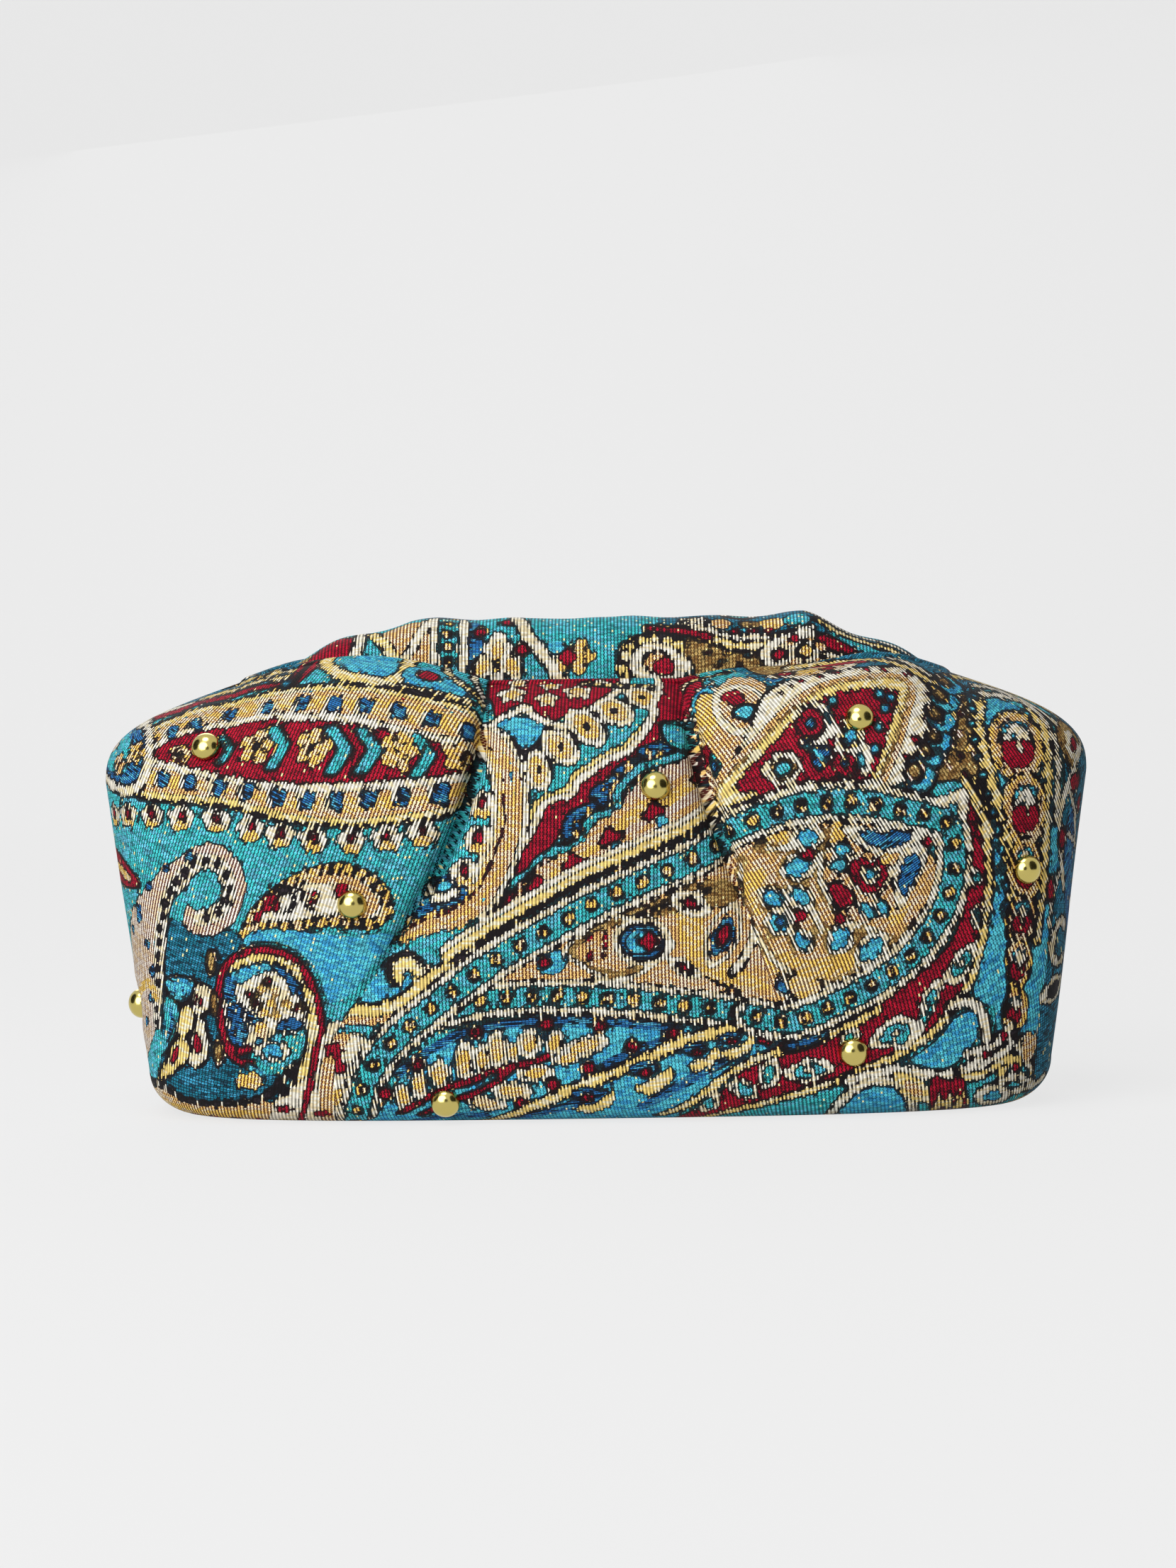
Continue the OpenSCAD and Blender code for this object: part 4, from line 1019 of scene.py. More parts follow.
# the yarn of each point of the cloth as smooth fields, one for each yarn, and how dark its edge is
def blurred(field, reach):
    taps = np.exp(-0.5 * (np.arange(-2 * reach, 2 * reach + 1) / reach) ** 2)
    taps /= taps.sum()
    n = 2 * reach
    for axis in (0, 1):
        pad = np.pad(field, [(n, n) if a == axis else (0, 0) for a in (0, 1)], mode="edge")
        size = field.shape[axis]
        field = sum(t * (pad[i:i + size] if axis == 0 else pad[:, i:i + size]) for i, t in enumerate(taps))
    return field


def yarnFields(painter, reach=2, edgeGain=10):
    fields = [blurred((painter.grid == i).astype(np.float32), reach) for i in range(len(yarns))]
    g = painter.grid.astype(int)
    hard = np.ones((len(yarns), len(yarns)), bool)
    np.fill_diagonal(hard, False)
    for group in softGroups:
        members = [yarns.index(yarn) for yarn in group]
        hard[np.ix_(members, members)] = False
    edge = np.zeros(g.shape, np.float32)
    edge[:, 1:] = np.maximum(edge[:, 1:], hard[g[:, 1:], g[:, :-1]])
    edge[1:] = np.maximum(edge[1:], hard[g[1:], g[:-1]])
    return fields + [np.minimum(1, blurred(edge, reach + 1) * edgeGain)]


def sampled(painter, fields, u, v):
    x = np.clip((u - painter.origin[0]) / painter.cell - 0.5, 0, painter.grid.shape[1] - 1.001)
    y = np.clip((v - painter.origin[1]) / painter.cell - 0.5, 0, painter.grid.shape[0] - 1.001)
    i, j = x.astype(int), y.astype(int)
    fx, fy = x - i, y - j
    found = []
    for f in fields:
        low = f[j, i] * (1 - fx) + f[j, i + 1] * fx
        high = f[j + 1, i] * (1 - fx) + f[j + 1, i + 1] * fx
        found.append(low * (1 - fy) + high * fy)
    return found


def paintedBody():
    p = ClothPainter(*plans["body"], plans["cell"], "teal")
    u, v = p.centres(slice(0, p.grid.shape[0]), slice(0, p.grid.shape[1]))
    lines = {name: [] for name in pleatNames}
    for z in heightAt(np.clip(v[:, 0], 0, lipV)):
        measure = loopMeasure(z)
        for name in pleatNames:
            lines[name].append(creaseU(name, z, measure))
    left, right = (np.array(lines[name])[:, None] for name in pleatNames)
    footL, footR = (np.interp(bag[name]["footZ"], profileZ, profileV) for name in pleatNames)
    for clip, paint in (((u < left) | (v < footL), paintLeftPanel),
                        (((u >= left) | (v < footL)) & ((u <= right) | (v < footR)), paintMiddlePanel),
                        ((u > right) | (v < footR), paintRightPanel)):
        p.clip = clip
        paint(p)
    p.clip = np.ones(p.grid.shape, bool)
    paintBase(p)
    return p


bodyPlan = paintedBody()
bandPlan = ClothPainter(*plans["roll"], plans["cell"], "teal")
paintRoll(bandPlan)
print("pattern painted")


# threads lean as the pleats turn the cloth: degrees at heights on the left, the middle and the right
lean = {
    "v": [0, 22, 42, 60, 80, 110, 150],
    "panels": [[-6, 9, 13, 17, 20, 24, 28], [-11, -6, -3, 0, 1, 2, 2], [-4, -6, -13, -23, -29, -34, -36]],
    "middles": [-95, -10, 95], "scale": [0.96, 1.0, 0.9], "span": (-60, 190),
}


def threadPlaces(panel, u, v):
    heights = np.linspace(*lean["span"], 1001)
    slope = np.tan(np.radians(np.interp(heights, lean["v"], lean["panels"][panel])))
    drift = np.concatenate([[0], np.cumsum(slope[1:] * np.diff(heights))])
    across = (u - np.interp(v, heights, drift)) * lean["scale"][panel]
    angle = np.radians(np.interp(v, lean["v"], lean["panels"][panel]))
    along = (v + (u - lean["middles"][panel]) * np.tan(angle)) * np.cos(angle)
    return np.stack([across, along], -1)


def linked(name, data):
    obj = bpy.data.objects.new(name, data)
    bpy.context.scene.collection.objects.link(obj)
    return obj


# the mesh of a piece, its flat cloth places as a uv map and its yarns as point fields
def clothObject(name, points, faces, places, painter, u, v):
    mesh = bpy.data.meshes.new(name)
    mesh.from_pydata((points * mm).tolist(), [], faces)
    layer = mesh.uv_layers.new(name="weaveUv")
    layer.data.foreach_set("uv", np.asarray(places, np.float32).ravel())
    fields = sampled(painter, yarnFields(painter), u, v)
    for i, key in enumerate(yarnKeys):
        attribute = mesh.attributes.new(key, "FLOAT_VECTOR", "POINT")
        attribute.data.foreach_set("vector", np.stack(fields[3 * i:3 * i + 3], 1).astype(np.float32).ravel())
    attribute = mesh.attributes.new("yarnEdge", "FLOAT", "POINT")
    attribute.data.foreach_set("value", fields[-1].astype(np.float32))
    mesh.shade_smooth()
    mesh.update()
    return linked(name, mesh)


# soft form of the filled cloth, as a rise along its outward direction, and where that rise fades out
fullness = {
    "wave": 0.9, "dimple": 0.8, "dimpleReach": 5.0, "ridge": 0.35, "ridgeAt": 9.0, "ridgeReach": 4.0,
    "groove": 5.0, "grooveReach": (2.0, 2.4), "bulge": 3.4, "bulgeReach": 5.0,
    "seamFade": 2.5, "footFade": (3.0, 16.0), "lipFade": 10.0, "grooveFade": 6.0,
    # upward rise, its middle and reach along x, the share of the height where it starts and how fast
    "shoulder": (2.8, 88.0, 22.0, 0.75, 4.0), "dip": (-5.2, 66.0, 24.0, 0.86, 7.0),
}
# rows over the lip: inset and rise in lip thicknesses and the share of the lobes; rows over the base
edgeRows = {
    "lip": ((0.12, 0.1, 1), (0.35, 0.2, 1), (0.7, 0.1, 1), (0.95, -0.15, 0.8), (1, -0.6, 0.5), (1, -1.5, 0)),
    "base": (0.06, 0.25, 0.45, 0.6, 0.72, 0.82, 0.9, 0.96),
    "lipRun": 7.0, "troughRun": 3.0, "baseRun": 42.0, "centreRun": 3.0, "floorRun": 6.0,
}


# broad waves, and a dimple with a low ridge round each stud
def swell(u, v, spots):
    wave = (0.5 * np.sin(u / 23 + 0.6) * np.sin(v / 27 + 0.4) + 0.3 * np.sin(u / 12.5 + v / 17)
            + 0.2 * np.sin(v / 10.5 - u / 31 + 1.1))
    rise = fullness["wave"] * wave
    for _, _, su, sv in spots:
        d = np.hypot(u - su, v - sv)
        rise = rise - fullness["dimple"] * np.exp(-(d / fullness["dimpleReach"]) ** 2)
        rise = rise + fullness["ridge"] * np.exp(-((d - fullness["ridgeAt"]) / fullness["ridgeReach"]) ** 2)
    return rise


# each pleat: the side panel's rounded edge stands over the middle, which dips under it
def pleatFold(name, z, u, crease):
    share = creaseDepth(name, z) / bag["pleatDepth"]
    gap = (crease - u) * (1 if name == "leftPleat" else -1)
    edge = np.maximum(gap, 0) / fullness["bulgeReach"]
    reach = np.where(gap > 0, *fullness["grooveReach"])
    bulge = fullness["bulge"] * edge * np.exp(1 - edge)
    return share * (bulge - fullness["groove"] * np.exp(-np.abs(gap) / reach))


def buildBody(spots):
    count = sum(bag["columns"])
    rows = []
    for v in np.linspace(0, lipV, round(lipV / bag["rowPitch"]) + 1):
        z = heightAt(v)
        measure = loopMeasure(z)
        ends = [measure[0], *(creaseU(name, z, measure) for name in pleatNames), measure[-1]]
        u = np.concatenate([np.linspace(a, b, n, endpoint=False)
                            for a, b, n in zip(ends, ends[1:], bag["columns"])] + [ends[-1:]])
        w = np.interp(u, measure, stations)
        groove = pleatFold("leftPleat", z, u, ends[1]) + pleatFold("rightPleat", z, u, ends[2])
        rows.append((clothPoint(w, z), u, np.full(count + 1, v), w, groove))
    grid, u, v, w, groove = (np.array([row[i] for row in rows]) for i in range(5))
    normal = np.cross(np.gradient(grid, axis=1), np.gradient(grid, axis=0))
    normal /= np.linalg.norm(normal, axis=2, keepdims=True)
    footStart, footRun = fullness["footFade"]
    fade = ease((2 - np.abs(w)) * fullness["seamFade"]) * ease((v - footStart) / footRun)
    fade = fade * ease((lipV - v) / fullness["lipFade"])
    rise = swell(u, v, spots) * fade + groove * ease((lipV - v) / fullness["grooveFade"])
    grid = grid + normal * rise[:, :, None]
    x = grid[:, :, 0]
    shoulder = sum(rise * np.exp(-((x - middle) / reach) ** 2) * ease((v / lipV - start) * steep)
                   for rise, middle, reach, start, steep in (fullness["shoulder"], fullness["dip"]))
    grid[:, :, 2] += shoulder
    # over the lip into the trough, and across the base
    lip = []
    for inset, rise, lobes in edgeRows["lip"]:
        x, y = onPlan(w[-1], bag["lipW"] / 2 - bag["lipT"] * inset, bag["lipD"] / 2 - bag["lipT"] * inset)
        z = bag["lipH"] + bag["lipT"] * rise + lobes * (lobe(x, bag["lipH"]) + shoulder[-1])
        run = lipV + edgeRows["lipRun"] * inset - edgeRows["troughRun"] * min(0, rise)
        lip.append((np.stack([x, y, z], 1), u[-1], np.full(count + 1, run)))
    base = []
    for share in edgeRows["base"]:
        x, y = onPlan(w[0], halfWidth(0.0) * share, halfDepth(0.0) * share)
        run = -edgeRows["baseRun"] * (1 - share)
        base.append((np.stack([x, y, 0 * x], 1), u[0], np.full(count + 1, run)))
    grid, u, v = (np.concatenate([[row[i] for row in base], part, [row[i] for row in lip]])
                  for i, part in enumerate((grid, u, v)))

    turned = np.array([-1, -1, 1])
    loop = np.concatenate([grid[:, :-1], grid[:, :-1] * turned], 1)
    height, around = loop.shape[:2]
    points = np.concatenate([loop.reshape(-1, 3), [[0, 0, 0]]])
    faces, places = [], []
    panelOf = np.searchsorted(np.cumsum(bag["columns"]), np.arange(count), side="right")
    woven = np.stack([threadPlaces(panel, u, v) for panel in range(3)])
    for r in range(height - 1):
        for c in range(around):
            k, n = c % count, (c + 1) % around
            faces.append((r * around + c, r * around + n, (r + 1) * around + n, (r + 1) * around + c))
            panel = woven[panelOf[k]]
            places += [panel[r, k], panel[r, k + 1], panel[r + 1, k + 1], panel[r + 1, k]]
    for c in range(around):
        k = c % count
        faces.append((len(points) - 1, (c + 1) % around, c))
        panel = woven[panelOf[k]]
        places += [panel[0, k] - [0, edgeRows["centreRun"]], panel[0, k + 1], panel[0, k]]
    top = (height - 1) * around
    across = [0, edgeRows["floorRun"]]
    for c in range(count):
        panel = woven[panelOf[c]]
        front = [(top + c, panel[-1, c]), (top + c + 1, panel[-1, c + 1])]
        back = [(top + (2 * count - c - 1) % around, panel[-1, c + 1] + across),
                (top + (2 * count - c) % around, panel[-1, c] + across)]
        ring = front + [q for q in back if q[0] not in (front[0][0], front[1][0])]
        faces.append(tuple(q[0] for q in ring))
        places += [q[1] for q in ring]
    flatU, flatV = (np.append(np.concatenate([part[:, :-1], part[:, :-1]], 1).ravel(), middle)
                    for part, middle in ((u, 0), (v, -edgeRows["baseRun"])))
    return clothObject("clothBody", points, faces, places, bodyPlan, flatU, flatV)


# the roll of cloth along the top
roll = {
    "crownH": 151.0, "crownFlat": 112.0, "gap": 0.3, "gatherH": 0.8, "gatherPitch": 29.0, "curve": 1.25,
    "longer": 9.0, "sectionN": 2.6, "end": 0.985, "columns": 220, "points": 70, "tuck": 9.0,
    "crease": 0.04, "creasePitch": 5.2, "creaseLean": 2.2, "creaseDrift": 17.0,
    "endV": 20.0,  # the cloth's run at the middle of the closed ends
}


def buildRoll():
    floorZ = bag["lipH"] - bag["troughDepth"]
    halfW = bag["lipW"] / 2 - bag["lipT"] - roll["gap"]
    x = (halfW * roll["end"] * np.sin(np.linspace(-pi / 2, pi / 2, roll["columns"] + 1)))[:, None]
    t = np.linspace(pi, 0, roll["points"] + 1)[None]
    c, s, n = np.cos(t), np.maximum(0, np.sin(t)), roll["sectionN"]
    k = (np.abs(c) ** n + s ** n) ** (1 / n)
    taper = (1 - (np.abs(x) / halfW) ** bag["cornerN"]) ** (1 / bag["cornerN"])
    halfD = (bag["lipD"] / 2 - bag["lipT"] - roll["gap"]) * taper
    flat = roll["crownFlat"] / 2 + np.where(x > 0, roll["longer"], 0)
    fall = np.maximum(0, np.abs(x) - flat) / (bag["lipW"] / 2 - flat)
    top = (roll["crownH"] - (roll["crownH"] - bag["lipH"]) * fall ** roll["curve"]
           + roll["gatherH"] * np.sin(tau * x / roll["gatherPitch"]))
    phase = x / roll["creasePitch"] + roll["creaseLean"] * c + np.sin(x / roll["creaseDrift"])
    pinch = 1 - roll["crease"] * (1 + np.sin(phase)) * s
    z = floorZ + (top - floorZ) * s / k * (0.5 + 0.5 * pinch)
    grid = np.stack([x + 0 * c, halfD * c / k * pinch, z], 2)
    along = np.linalg.norm(np.diff(grid, axis=1), axis=2)
    v = np.concatenate([np.zeros((len(x), 1)), np.cumsum(along, 1)], 1)
    v = v / v[:, -1:] * v[len(x) // 2, -1] - roll["tuck"]
    u = x + 0 * v
    rows, cols = grid.shape[:2]
    faces, places = [], []
    for i in range(rows - 1):
        for j in range(cols):
            m = (j + 1) % cols
            corners = ((i, j), (i + 1, j), (i + 1, m), (i, m))
            faces.append(tuple(row * cols + col for row, col in corners))
            places += [(u[corner], v[corner]) for corner in corners]
    points = grid.reshape(-1, 3)
    mid = len(points)
    points = np.concatenate([points, grid[0].mean(0)[None], grid[-1].mean(0)[None]])
    for i, centre, step in ((0, mid, 1), (rows - 1, mid + 1, -1)):
        for j in range(cols):
            a, b = (j, (j + 1) % cols)[::step]
            faces.append((centre, i * cols + a, i * cols + b))
            places += [(u[i, 0], roll["endV"]), (u[i, a], v[i, a]), (u[i, b], v[i, b])]
    return clothObject("rolledBand", points, faces, places, bandPlan,
                       np.append(u.ravel(), [u[0, 0], u[-1, 0]]), np.append(v.ravel(), [roll["endV"]] * 2))


spots = studSpots()
clothBody = buildBody(spots)
rolledBand = buildRoll()
print("cloth built:", len(clothBody.data.polygons), "and", len(rolledBand.data.polygons), "faces")


# shading; a colour is written as bytes of sRGB
def linear(r, g, b):
    return tuple(c / 3294.6 if c < 10.3 else ((c / 255 + 0.055) / 1.055) ** 2.4 for c in (r, g, b)) + (1.0,)


def feed(tree, socket, value):
    if isinstance(value, bpy.types.NodeSocket):
        tree.links.new(value, socket)
    else:
        socket.default_value = value


def addNode(tree, kind, *values, **settings):
    made = tree.nodes.new(kind)
    for key, value in settings.items():
        setattr(made, key, value)
    for socket, value in zip(made.inputs, values):
        feed(tree, socket, value)
    return made


def calc(tree, operation, *values):
    return addNode(tree, "ShaderNodeMath", *values, operation=operation).outputs[0]


def blend(tree, share, a, b):
    made = tree.nodes.new("ShaderNodeMix")
    made.data_type = "RGBA"
    for socket, value in zip((made.inputs[0], made.inputs[6], made.inputs[7]), (share, a, b)):
        feed(tree, socket, value)
    return made.outputs[2]


def ramp(tree, share, colours):
    made = addNode(tree, "ShaderNodeValToRGB", share)
    made.color_ramp.interpolation = "CONSTANT"
    while len(made.color_ramp.elements) < len(colours):
        made.color_ramp.elements.new(1.0)
    for i, colour in enumerate(colours):
        made.color_ramp.elements[i].position = i / len(colours)
        made.color_ramp.elements[i].color = colour
    return made.outputs[0]


def noise(tree, place, scale):
    made = addNode(tree, "ShaderNodeTexNoise", place)
    made.inputs["Scale"].default_value = scale
    return made.outputs[0]


def newGroup(use, name, inputs, outputs):
    tree = bpy.data.node_groups.new(name, use + "NodeTree")
    for way, sockets in (("INPUT", inputs), ("OUTPUT", outputs)):
        for label, kind in sockets:
            tree.interface.new_socket(label, in_out=way, socket_type="NodeSocket" + kind)
    return tree, tree.nodes.new("NodeGroupInput"), tree.nodes.new("NodeGroupOutput")


def newMaterial(name):
    material = bpy.data.materials.new(name)
    material.use_nodes = True
    return material, material.node_tree, material.node_tree.nodes["Principled BSDF"]


# threads of the weave: places within a crossing and a weft dash, and chance values for them and columns
def threadGroup():
    inputs = [("Place", "Vector"), ("Thread", "Float"), ("Pick", "Float")]
    outputs = [("Across", "Float"), ("Along", "Float"), ("Weft", "Float"), ("Chance", "Color"),
               ("Column", "Color"), ("Dash", "Color")]
    tree, given, result = newGroup("Shader", "jacquardThreads", inputs, outputs)
    place = addNode(tree, "ShaderNodeSeparateXYZ", given.outputs[0])
    across = calc(tree, "DIVIDE", place.outputs[0], given.outputs[1])
    column = calc(tree, "FLOOR", across)
    odd = calc(tree, "FLOORED_MODULO", column, 2.0)
    level = calc(tree, "DIVIDE", place.outputs[1], given.outputs[2])
    up = calc(tree, "ADD", level, calc(tree, "MULTIPLY", odd, 0.5))
    weft = calc(tree, "MULTIPLY", level, 2.0)
    weftRow = calc(tree, "FLOOR", weft)
    shifted = calc(tree, "ADD", column, calc(tree, "MULTIPLY", weftRow, 3.0))
    dash = calc(tree, "FLOOR", calc(tree, "DIVIDE", shifted, 2.0))
    for i, value in enumerate((across, up, weft)):
        off = calc(tree, "ABSOLUTE", calc(tree, "SUBTRACT", calc(tree, "FRACT", value), 0.5))
        feed(tree, result.inputs[i], off)
    run = calc(tree, "FLOOR", calc(tree, "DIVIDE", up, 3.0))
    cells = [(column, calc(tree, "FLOOR", up), 0.0), (column, run, 9.0), (dash, weftRow, 4.0)]
    for i, cell in enumerate(cells, 3):
        cell = addNode(tree, "ShaderNodeCombineXYZ", *cell).outputs[0]
        chance = addNode(tree, "ShaderNodeTexWhiteNoise", cell, noise_dimensions="3D")
        feed(tree, result.inputs[i], chance.outputs["Color"])
    return tree


# which yarn lies on top at a point, and how clearly; light yarns end in teeth, one for each thread
def choiceGroup():
    keys = ["Yarn A", "Yarn B", "Yarn C", "Yarn D"]
    inputs = [(key, "Vector") for key in keys]
    inputs += [("Chance", "Color"), ("Column", "Color"), ("Ragged", "Float"), ("Teeth", "Float")]
    tree, given, result = newGroup("Shader", "yarnChoice", inputs, [("Share", "Float"), ("Margin", "Float")])
    ragged, teeth = given.outputs["Ragged"], given.outputs["Teeth"]
    shift = addNode(tree, "ShaderNodeVectorMath", given.outputs["Chance"], (0.5, 0.5, 0.5),
                    operation="SUBTRACT")
    lift = addNode(tree, "ShaderNodeSeparateColor", given.outputs["Column"]).outputs[0]
    tooth = calc(tree, "MULTIPLY", calc(tree, "SUBTRACT", lift, 0.5), teeth)
    values = []
    for i, key in enumerate(keys):
        turned = addNode(tree, "ShaderNodeVectorRotate", shift.outputs[0], rotation_type="AXIS_ANGLE")
        turned.inputs["Axis"].default_value = (1, 1, 1)
        turned.inputs["Angle"].default_value = 1.1 * i
        jitter = addNode(tree, "ShaderNodeVectorMath", turned.outputs[0], operation="SCALE")
        feed(tree, jitter.inputs["Scale"], ragged)
        total = addNode(tree, "ShaderNodeVectorMath", given.outputs[key], jitter.outputs[0], operation="ADD")
        values += list(addNode(tree, "ShaderNodeSeparateXYZ", total.outputs[0]).outputs)
    values = [calc(tree, "ADD" if i >= firstLight else "SUBTRACT", value, tooth)
              for i, value in enumerate(values)]
    best, second, index = values[0], -9.0, 0.0
    for i, value in enumerate(values[1:], 1):
        wins = calc(tree, "GREATER_THAN", value, best)
        second = calc(tree, "MAXIMUM", calc(tree, "MINIMUM", best, value), second)
        best = calc(tree, "MAXIMUM", best, value)
        index = calc(tree, "MAXIMUM", index, calc(tree, "MULTIPLY", wins, float(i)))
    feed(tree, result.inputs[0], calc(tree, "DIVIDE", calc(tree, "ADD", index, 0.5), float(len(values))))
    feed(tree, result.inputs[1], calc(tree, "SUBTRACT", best, second))
    return tree


# each yarn: the float on top, a second float, what lies in its holes; then its share of second floats,
# its holes' width and half height, how far weft dashes part, how far holes close inside a shape and
# its share of pale warp threads
yarnLook = {
    "teal": ((72, 216, 220), (112, 222, 250), (6, 22, 32), 0.38, 0.52, 0.33, 0.45, 0.0, 0.05),
    "aqua": ((96, 216, 234), (66, 174, 226), (8, 40, 66), 0.38, 0.44, 0.26, 0.40, 0.0, 0.02),
    "navy": ((44, 122, 190), (84, 180, 218), (6, 10, 20), 0.35, 0.34, 0.25, 0.95, 0.0, 0.02),
    "deep": ((28, 124, 150), (60, 158, 196), (5, 13, 22), 0.40, 0.46, 0.28, 0.75, 0.0, 0.03),
    "crimson": ((180, 18, 46), (146, 10, 38), (16, 3, 8), 0.34, 0.54, 0.37, 0.0, 0.0, 0.02),
    "olive": ((206, 172, 104), (150, 112, 60), (44, 26, 12), 0.40, 0.48, 0.32, 0.40, 0.0, 0.05),
    "black": ((20, 16, 20), (38, 31, 37), (6, 6, 8), 0.30, 0.30, 0.25, 0.0, 0.0, 0.0),
    "cream": ((254, 247, 230), (246, 226, 186), (78, 32, 28), 0.36, 0.60, 0.45, 0.15, 0.0, 0.0),
    "gold": ((254, 216, 108), (255, 238, 190), (74, 28, 12), 0.36, 0.54, 0.42, 0.15, 0.0, 0.0),
    "lattice": ((246, 206, 128), (255, 242, 208), (76, 24, 12), 0.44, 0.60, 0.42, 0.12, 0.0, 0.0),
    "comb": ((254, 247, 230), (246, 228, 184), (12, 8, 10), 0.36, 0.56, 0.60, 0.10, 0.45, 0.0),
    "fringe": ((254, 222, 132), (255, 242, 204), (22, 12, 8), 0.36, 0.55, 0.60, 0.10, 0.45, 0.0),
}
weave = {
    "thread": 1.06, "pick": 1.12, "ragged": 0.22, "teeth": 0.5, "edgeDark": 0.95, "relief": 0.00025,
    "bump": 0.6, "roughness": 0.72, "specular": 0.12, "warp": (236, 226, 160), "outline": (16, 12, 14),
    "patch": 0.11, "patchLean": 0.35, "mottle": 0.6, "uneven": (0.62, 0.32),  # dark yarns, light yarns
    "softAcross": 0.05, "softAlong": 0.06, "closing": (0.3, 0.6), "lost": 0.16, "weftGap": (0.24, 0.36),
}


def clothMaterial(name):
    material, tree, shader = newMaterial(name)
    place = addNode(tree, "ShaderNodeUVMap", uv_map="weaveUv").outputs[0]
    threads = addNode(tree, "ShaderNodeGroup", place, weave["thread"], weave["pick"], node_tree=threadTree)
    across, along, weft, chance, column, dash = threads.outputs
    fields = [addNode(tree, "ShaderNodeAttribute", attribute_name=key).outputs["Vector"] for key in yarnKeys]
    share, margin = addNode(tree, "ShaderNodeGroup", *fields, chance, column, weave["ragged"],
                            weave["teeth"], node_tree=choiceTree).outputs
    looks = [yarnLook[yarn] for yarn in yarns]
    floatA, floatB, gap = (ramp(tree, share, [linear(*look[i]) for look in looks]) for i in range(3))

    def parts(colour):
        return addNode(tree, "ShaderNodeSeparateColor", colour).outputs

    (seconds, wide, tall), (parted, shut, pale) = (
        parts(ramp(tree, share, [look[i:i + 3] + (1,) for look in looks])) for i in (3, 6))
    draws = parts(dash)
    edge = addNode(tree, "ShaderNodeAttribute", attribute_name="yarnEdge").outputs["Fac"]

    def step(value, start, end, low=0.0, high=1.0):
        return addNode(tree, "ShaderNodeMapRange", value, start, end, low, high).outputs[0]

    # a soft step about a middle that changes over the cloth
    def about(value, middle, half, low=0.0, high=1.0):
        return step(value, calc(tree, "SUBTRACT", middle, half), calc(tree, "ADD", middle, half), low, high)

    def times(*values):
        total = values[0]
        for value in values[1:]:
            total = calc(tree, "MULTIPLY", total, value)
        return total

    def rest(value):
        return calc(tree, "SUBTRACT", 1.0, value)

    side = calc(tree, "SUBTRACT", 0.5, calc(tree, "MULTIPLY", wide, 0.5))
    hole = times(about(across, side, weave["softAcross"]), about(along, tall, weave["softAlong"], 1.0, 0.0),
                 rest(times(shut, step(margin, *weave["closing"]))))
    lost = times(parted, calc(tree, "LESS_THAN", draws[2], weave["lost"]))
    cover = times(rest(hole), rest(times(parted, step(weft, *weave["weftGap"]))), rest(lost))
    patches = step(noise(tree, place, weave["patch"]), 0.3, 0.7, -weave["patchLean"], weave["patchLean"])
    leaning = calc(tree, "ADD", seconds, patches)
    shown = blend(tree, calc(tree, "LESS_THAN", draws[0], leaning), floatA, floatB)
    mottle = step(noise(tree, place, weave["mottle"]), 0.32, 0.62, 0.0, 0.6)
    light = calc(tree, "GREATER_THAN", share, firstLight / len(yarns))
    least = step(light, 0.0, 1.0, *(1 - uneven for uneven in weave["uneven"]))
    tone = calc(tree, "MULTIPLY_ADD", draws[1], 0.5, mottle)
    colour = blend(tree, times(cover, step(tone, 0.1, 0.9, least, 1.0)), gap, shown)
    speck = calc(tree, "LESS_THAN", parts(chance)[1], pale)
    warp = times(speck, step(across, 0.16, 0.26, 1.0, 0.0), step(along, 0.3, 0.4, 1.0, 0.0))
    colour = blend(tree, warp, colour, linear(*weave["warp"]))
    dark = times(step(edge, 0.2, 0.5), step(margin, 0.42, 0.52, 1.0, 0.0), rest(light), weave["edgeDark"])
    colour = blend(tree, dark, colour, linear(*weave["outline"]))
    feed(tree, shader.inputs["Base Color"], colour)
    shader.inputs["Roughness"].default_value = weave["roughness"]
    shader.inputs["Specular IOR Level"].default_value = weave["specular"]
    bump = addNode(tree, "ShaderNodeBump")
    bump.inputs["Strength"].default_value = weave["bump"]
    bump.inputs["Distance"].default_value = weave["relief"]
    feed(tree, bump.inputs["Height"], cover)
    feed(tree, shader.inputs["Normal"], bump.outputs[0])
    return material


metals = {"brass": (202, 186, 108), "brassRoughness": 0.17, "rivet": (205, 202, 196), "rivetRoughness": 0.35,
          "grain": 900.0}


def metalMaterial(name, colour, roughness):
    material, tree, shader = newMaterial(name)
    grain = noise(tree, addNode(tree, "ShaderNodeTexCoord").outputs["Object"], metals["grain"])
    rough = addNode(tree, "ShaderNodeMapRange", grain, 0.3, 0.7, roughness * 0.8, roughness * 1.25)
    feed(tree, shader.inputs["Roughness"], rough.outputs[0])
    shader.inputs["Base Color"].default_value = linear(*colour)
    shader.inputs["Metallic"].default_value = 1.0
    return material


threadTree = threadGroup()
choiceTree = choiceGroup()
clothBody.data.materials.append(clothMaterial("bodyCloth"))
rolledBand.data.materials.append(clothMaterial("bandCloth"))
brass = metalMaterial("polishedBrass", metals["brass"], metals["brassRoughness"])
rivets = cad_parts["stud_rivets"]
rivets.data.materials.clear()
rivets.data.materials.append(metalMaterial("rivetMetal", metals["rivet"], metals["rivetRoughness"]))
print("materials made")


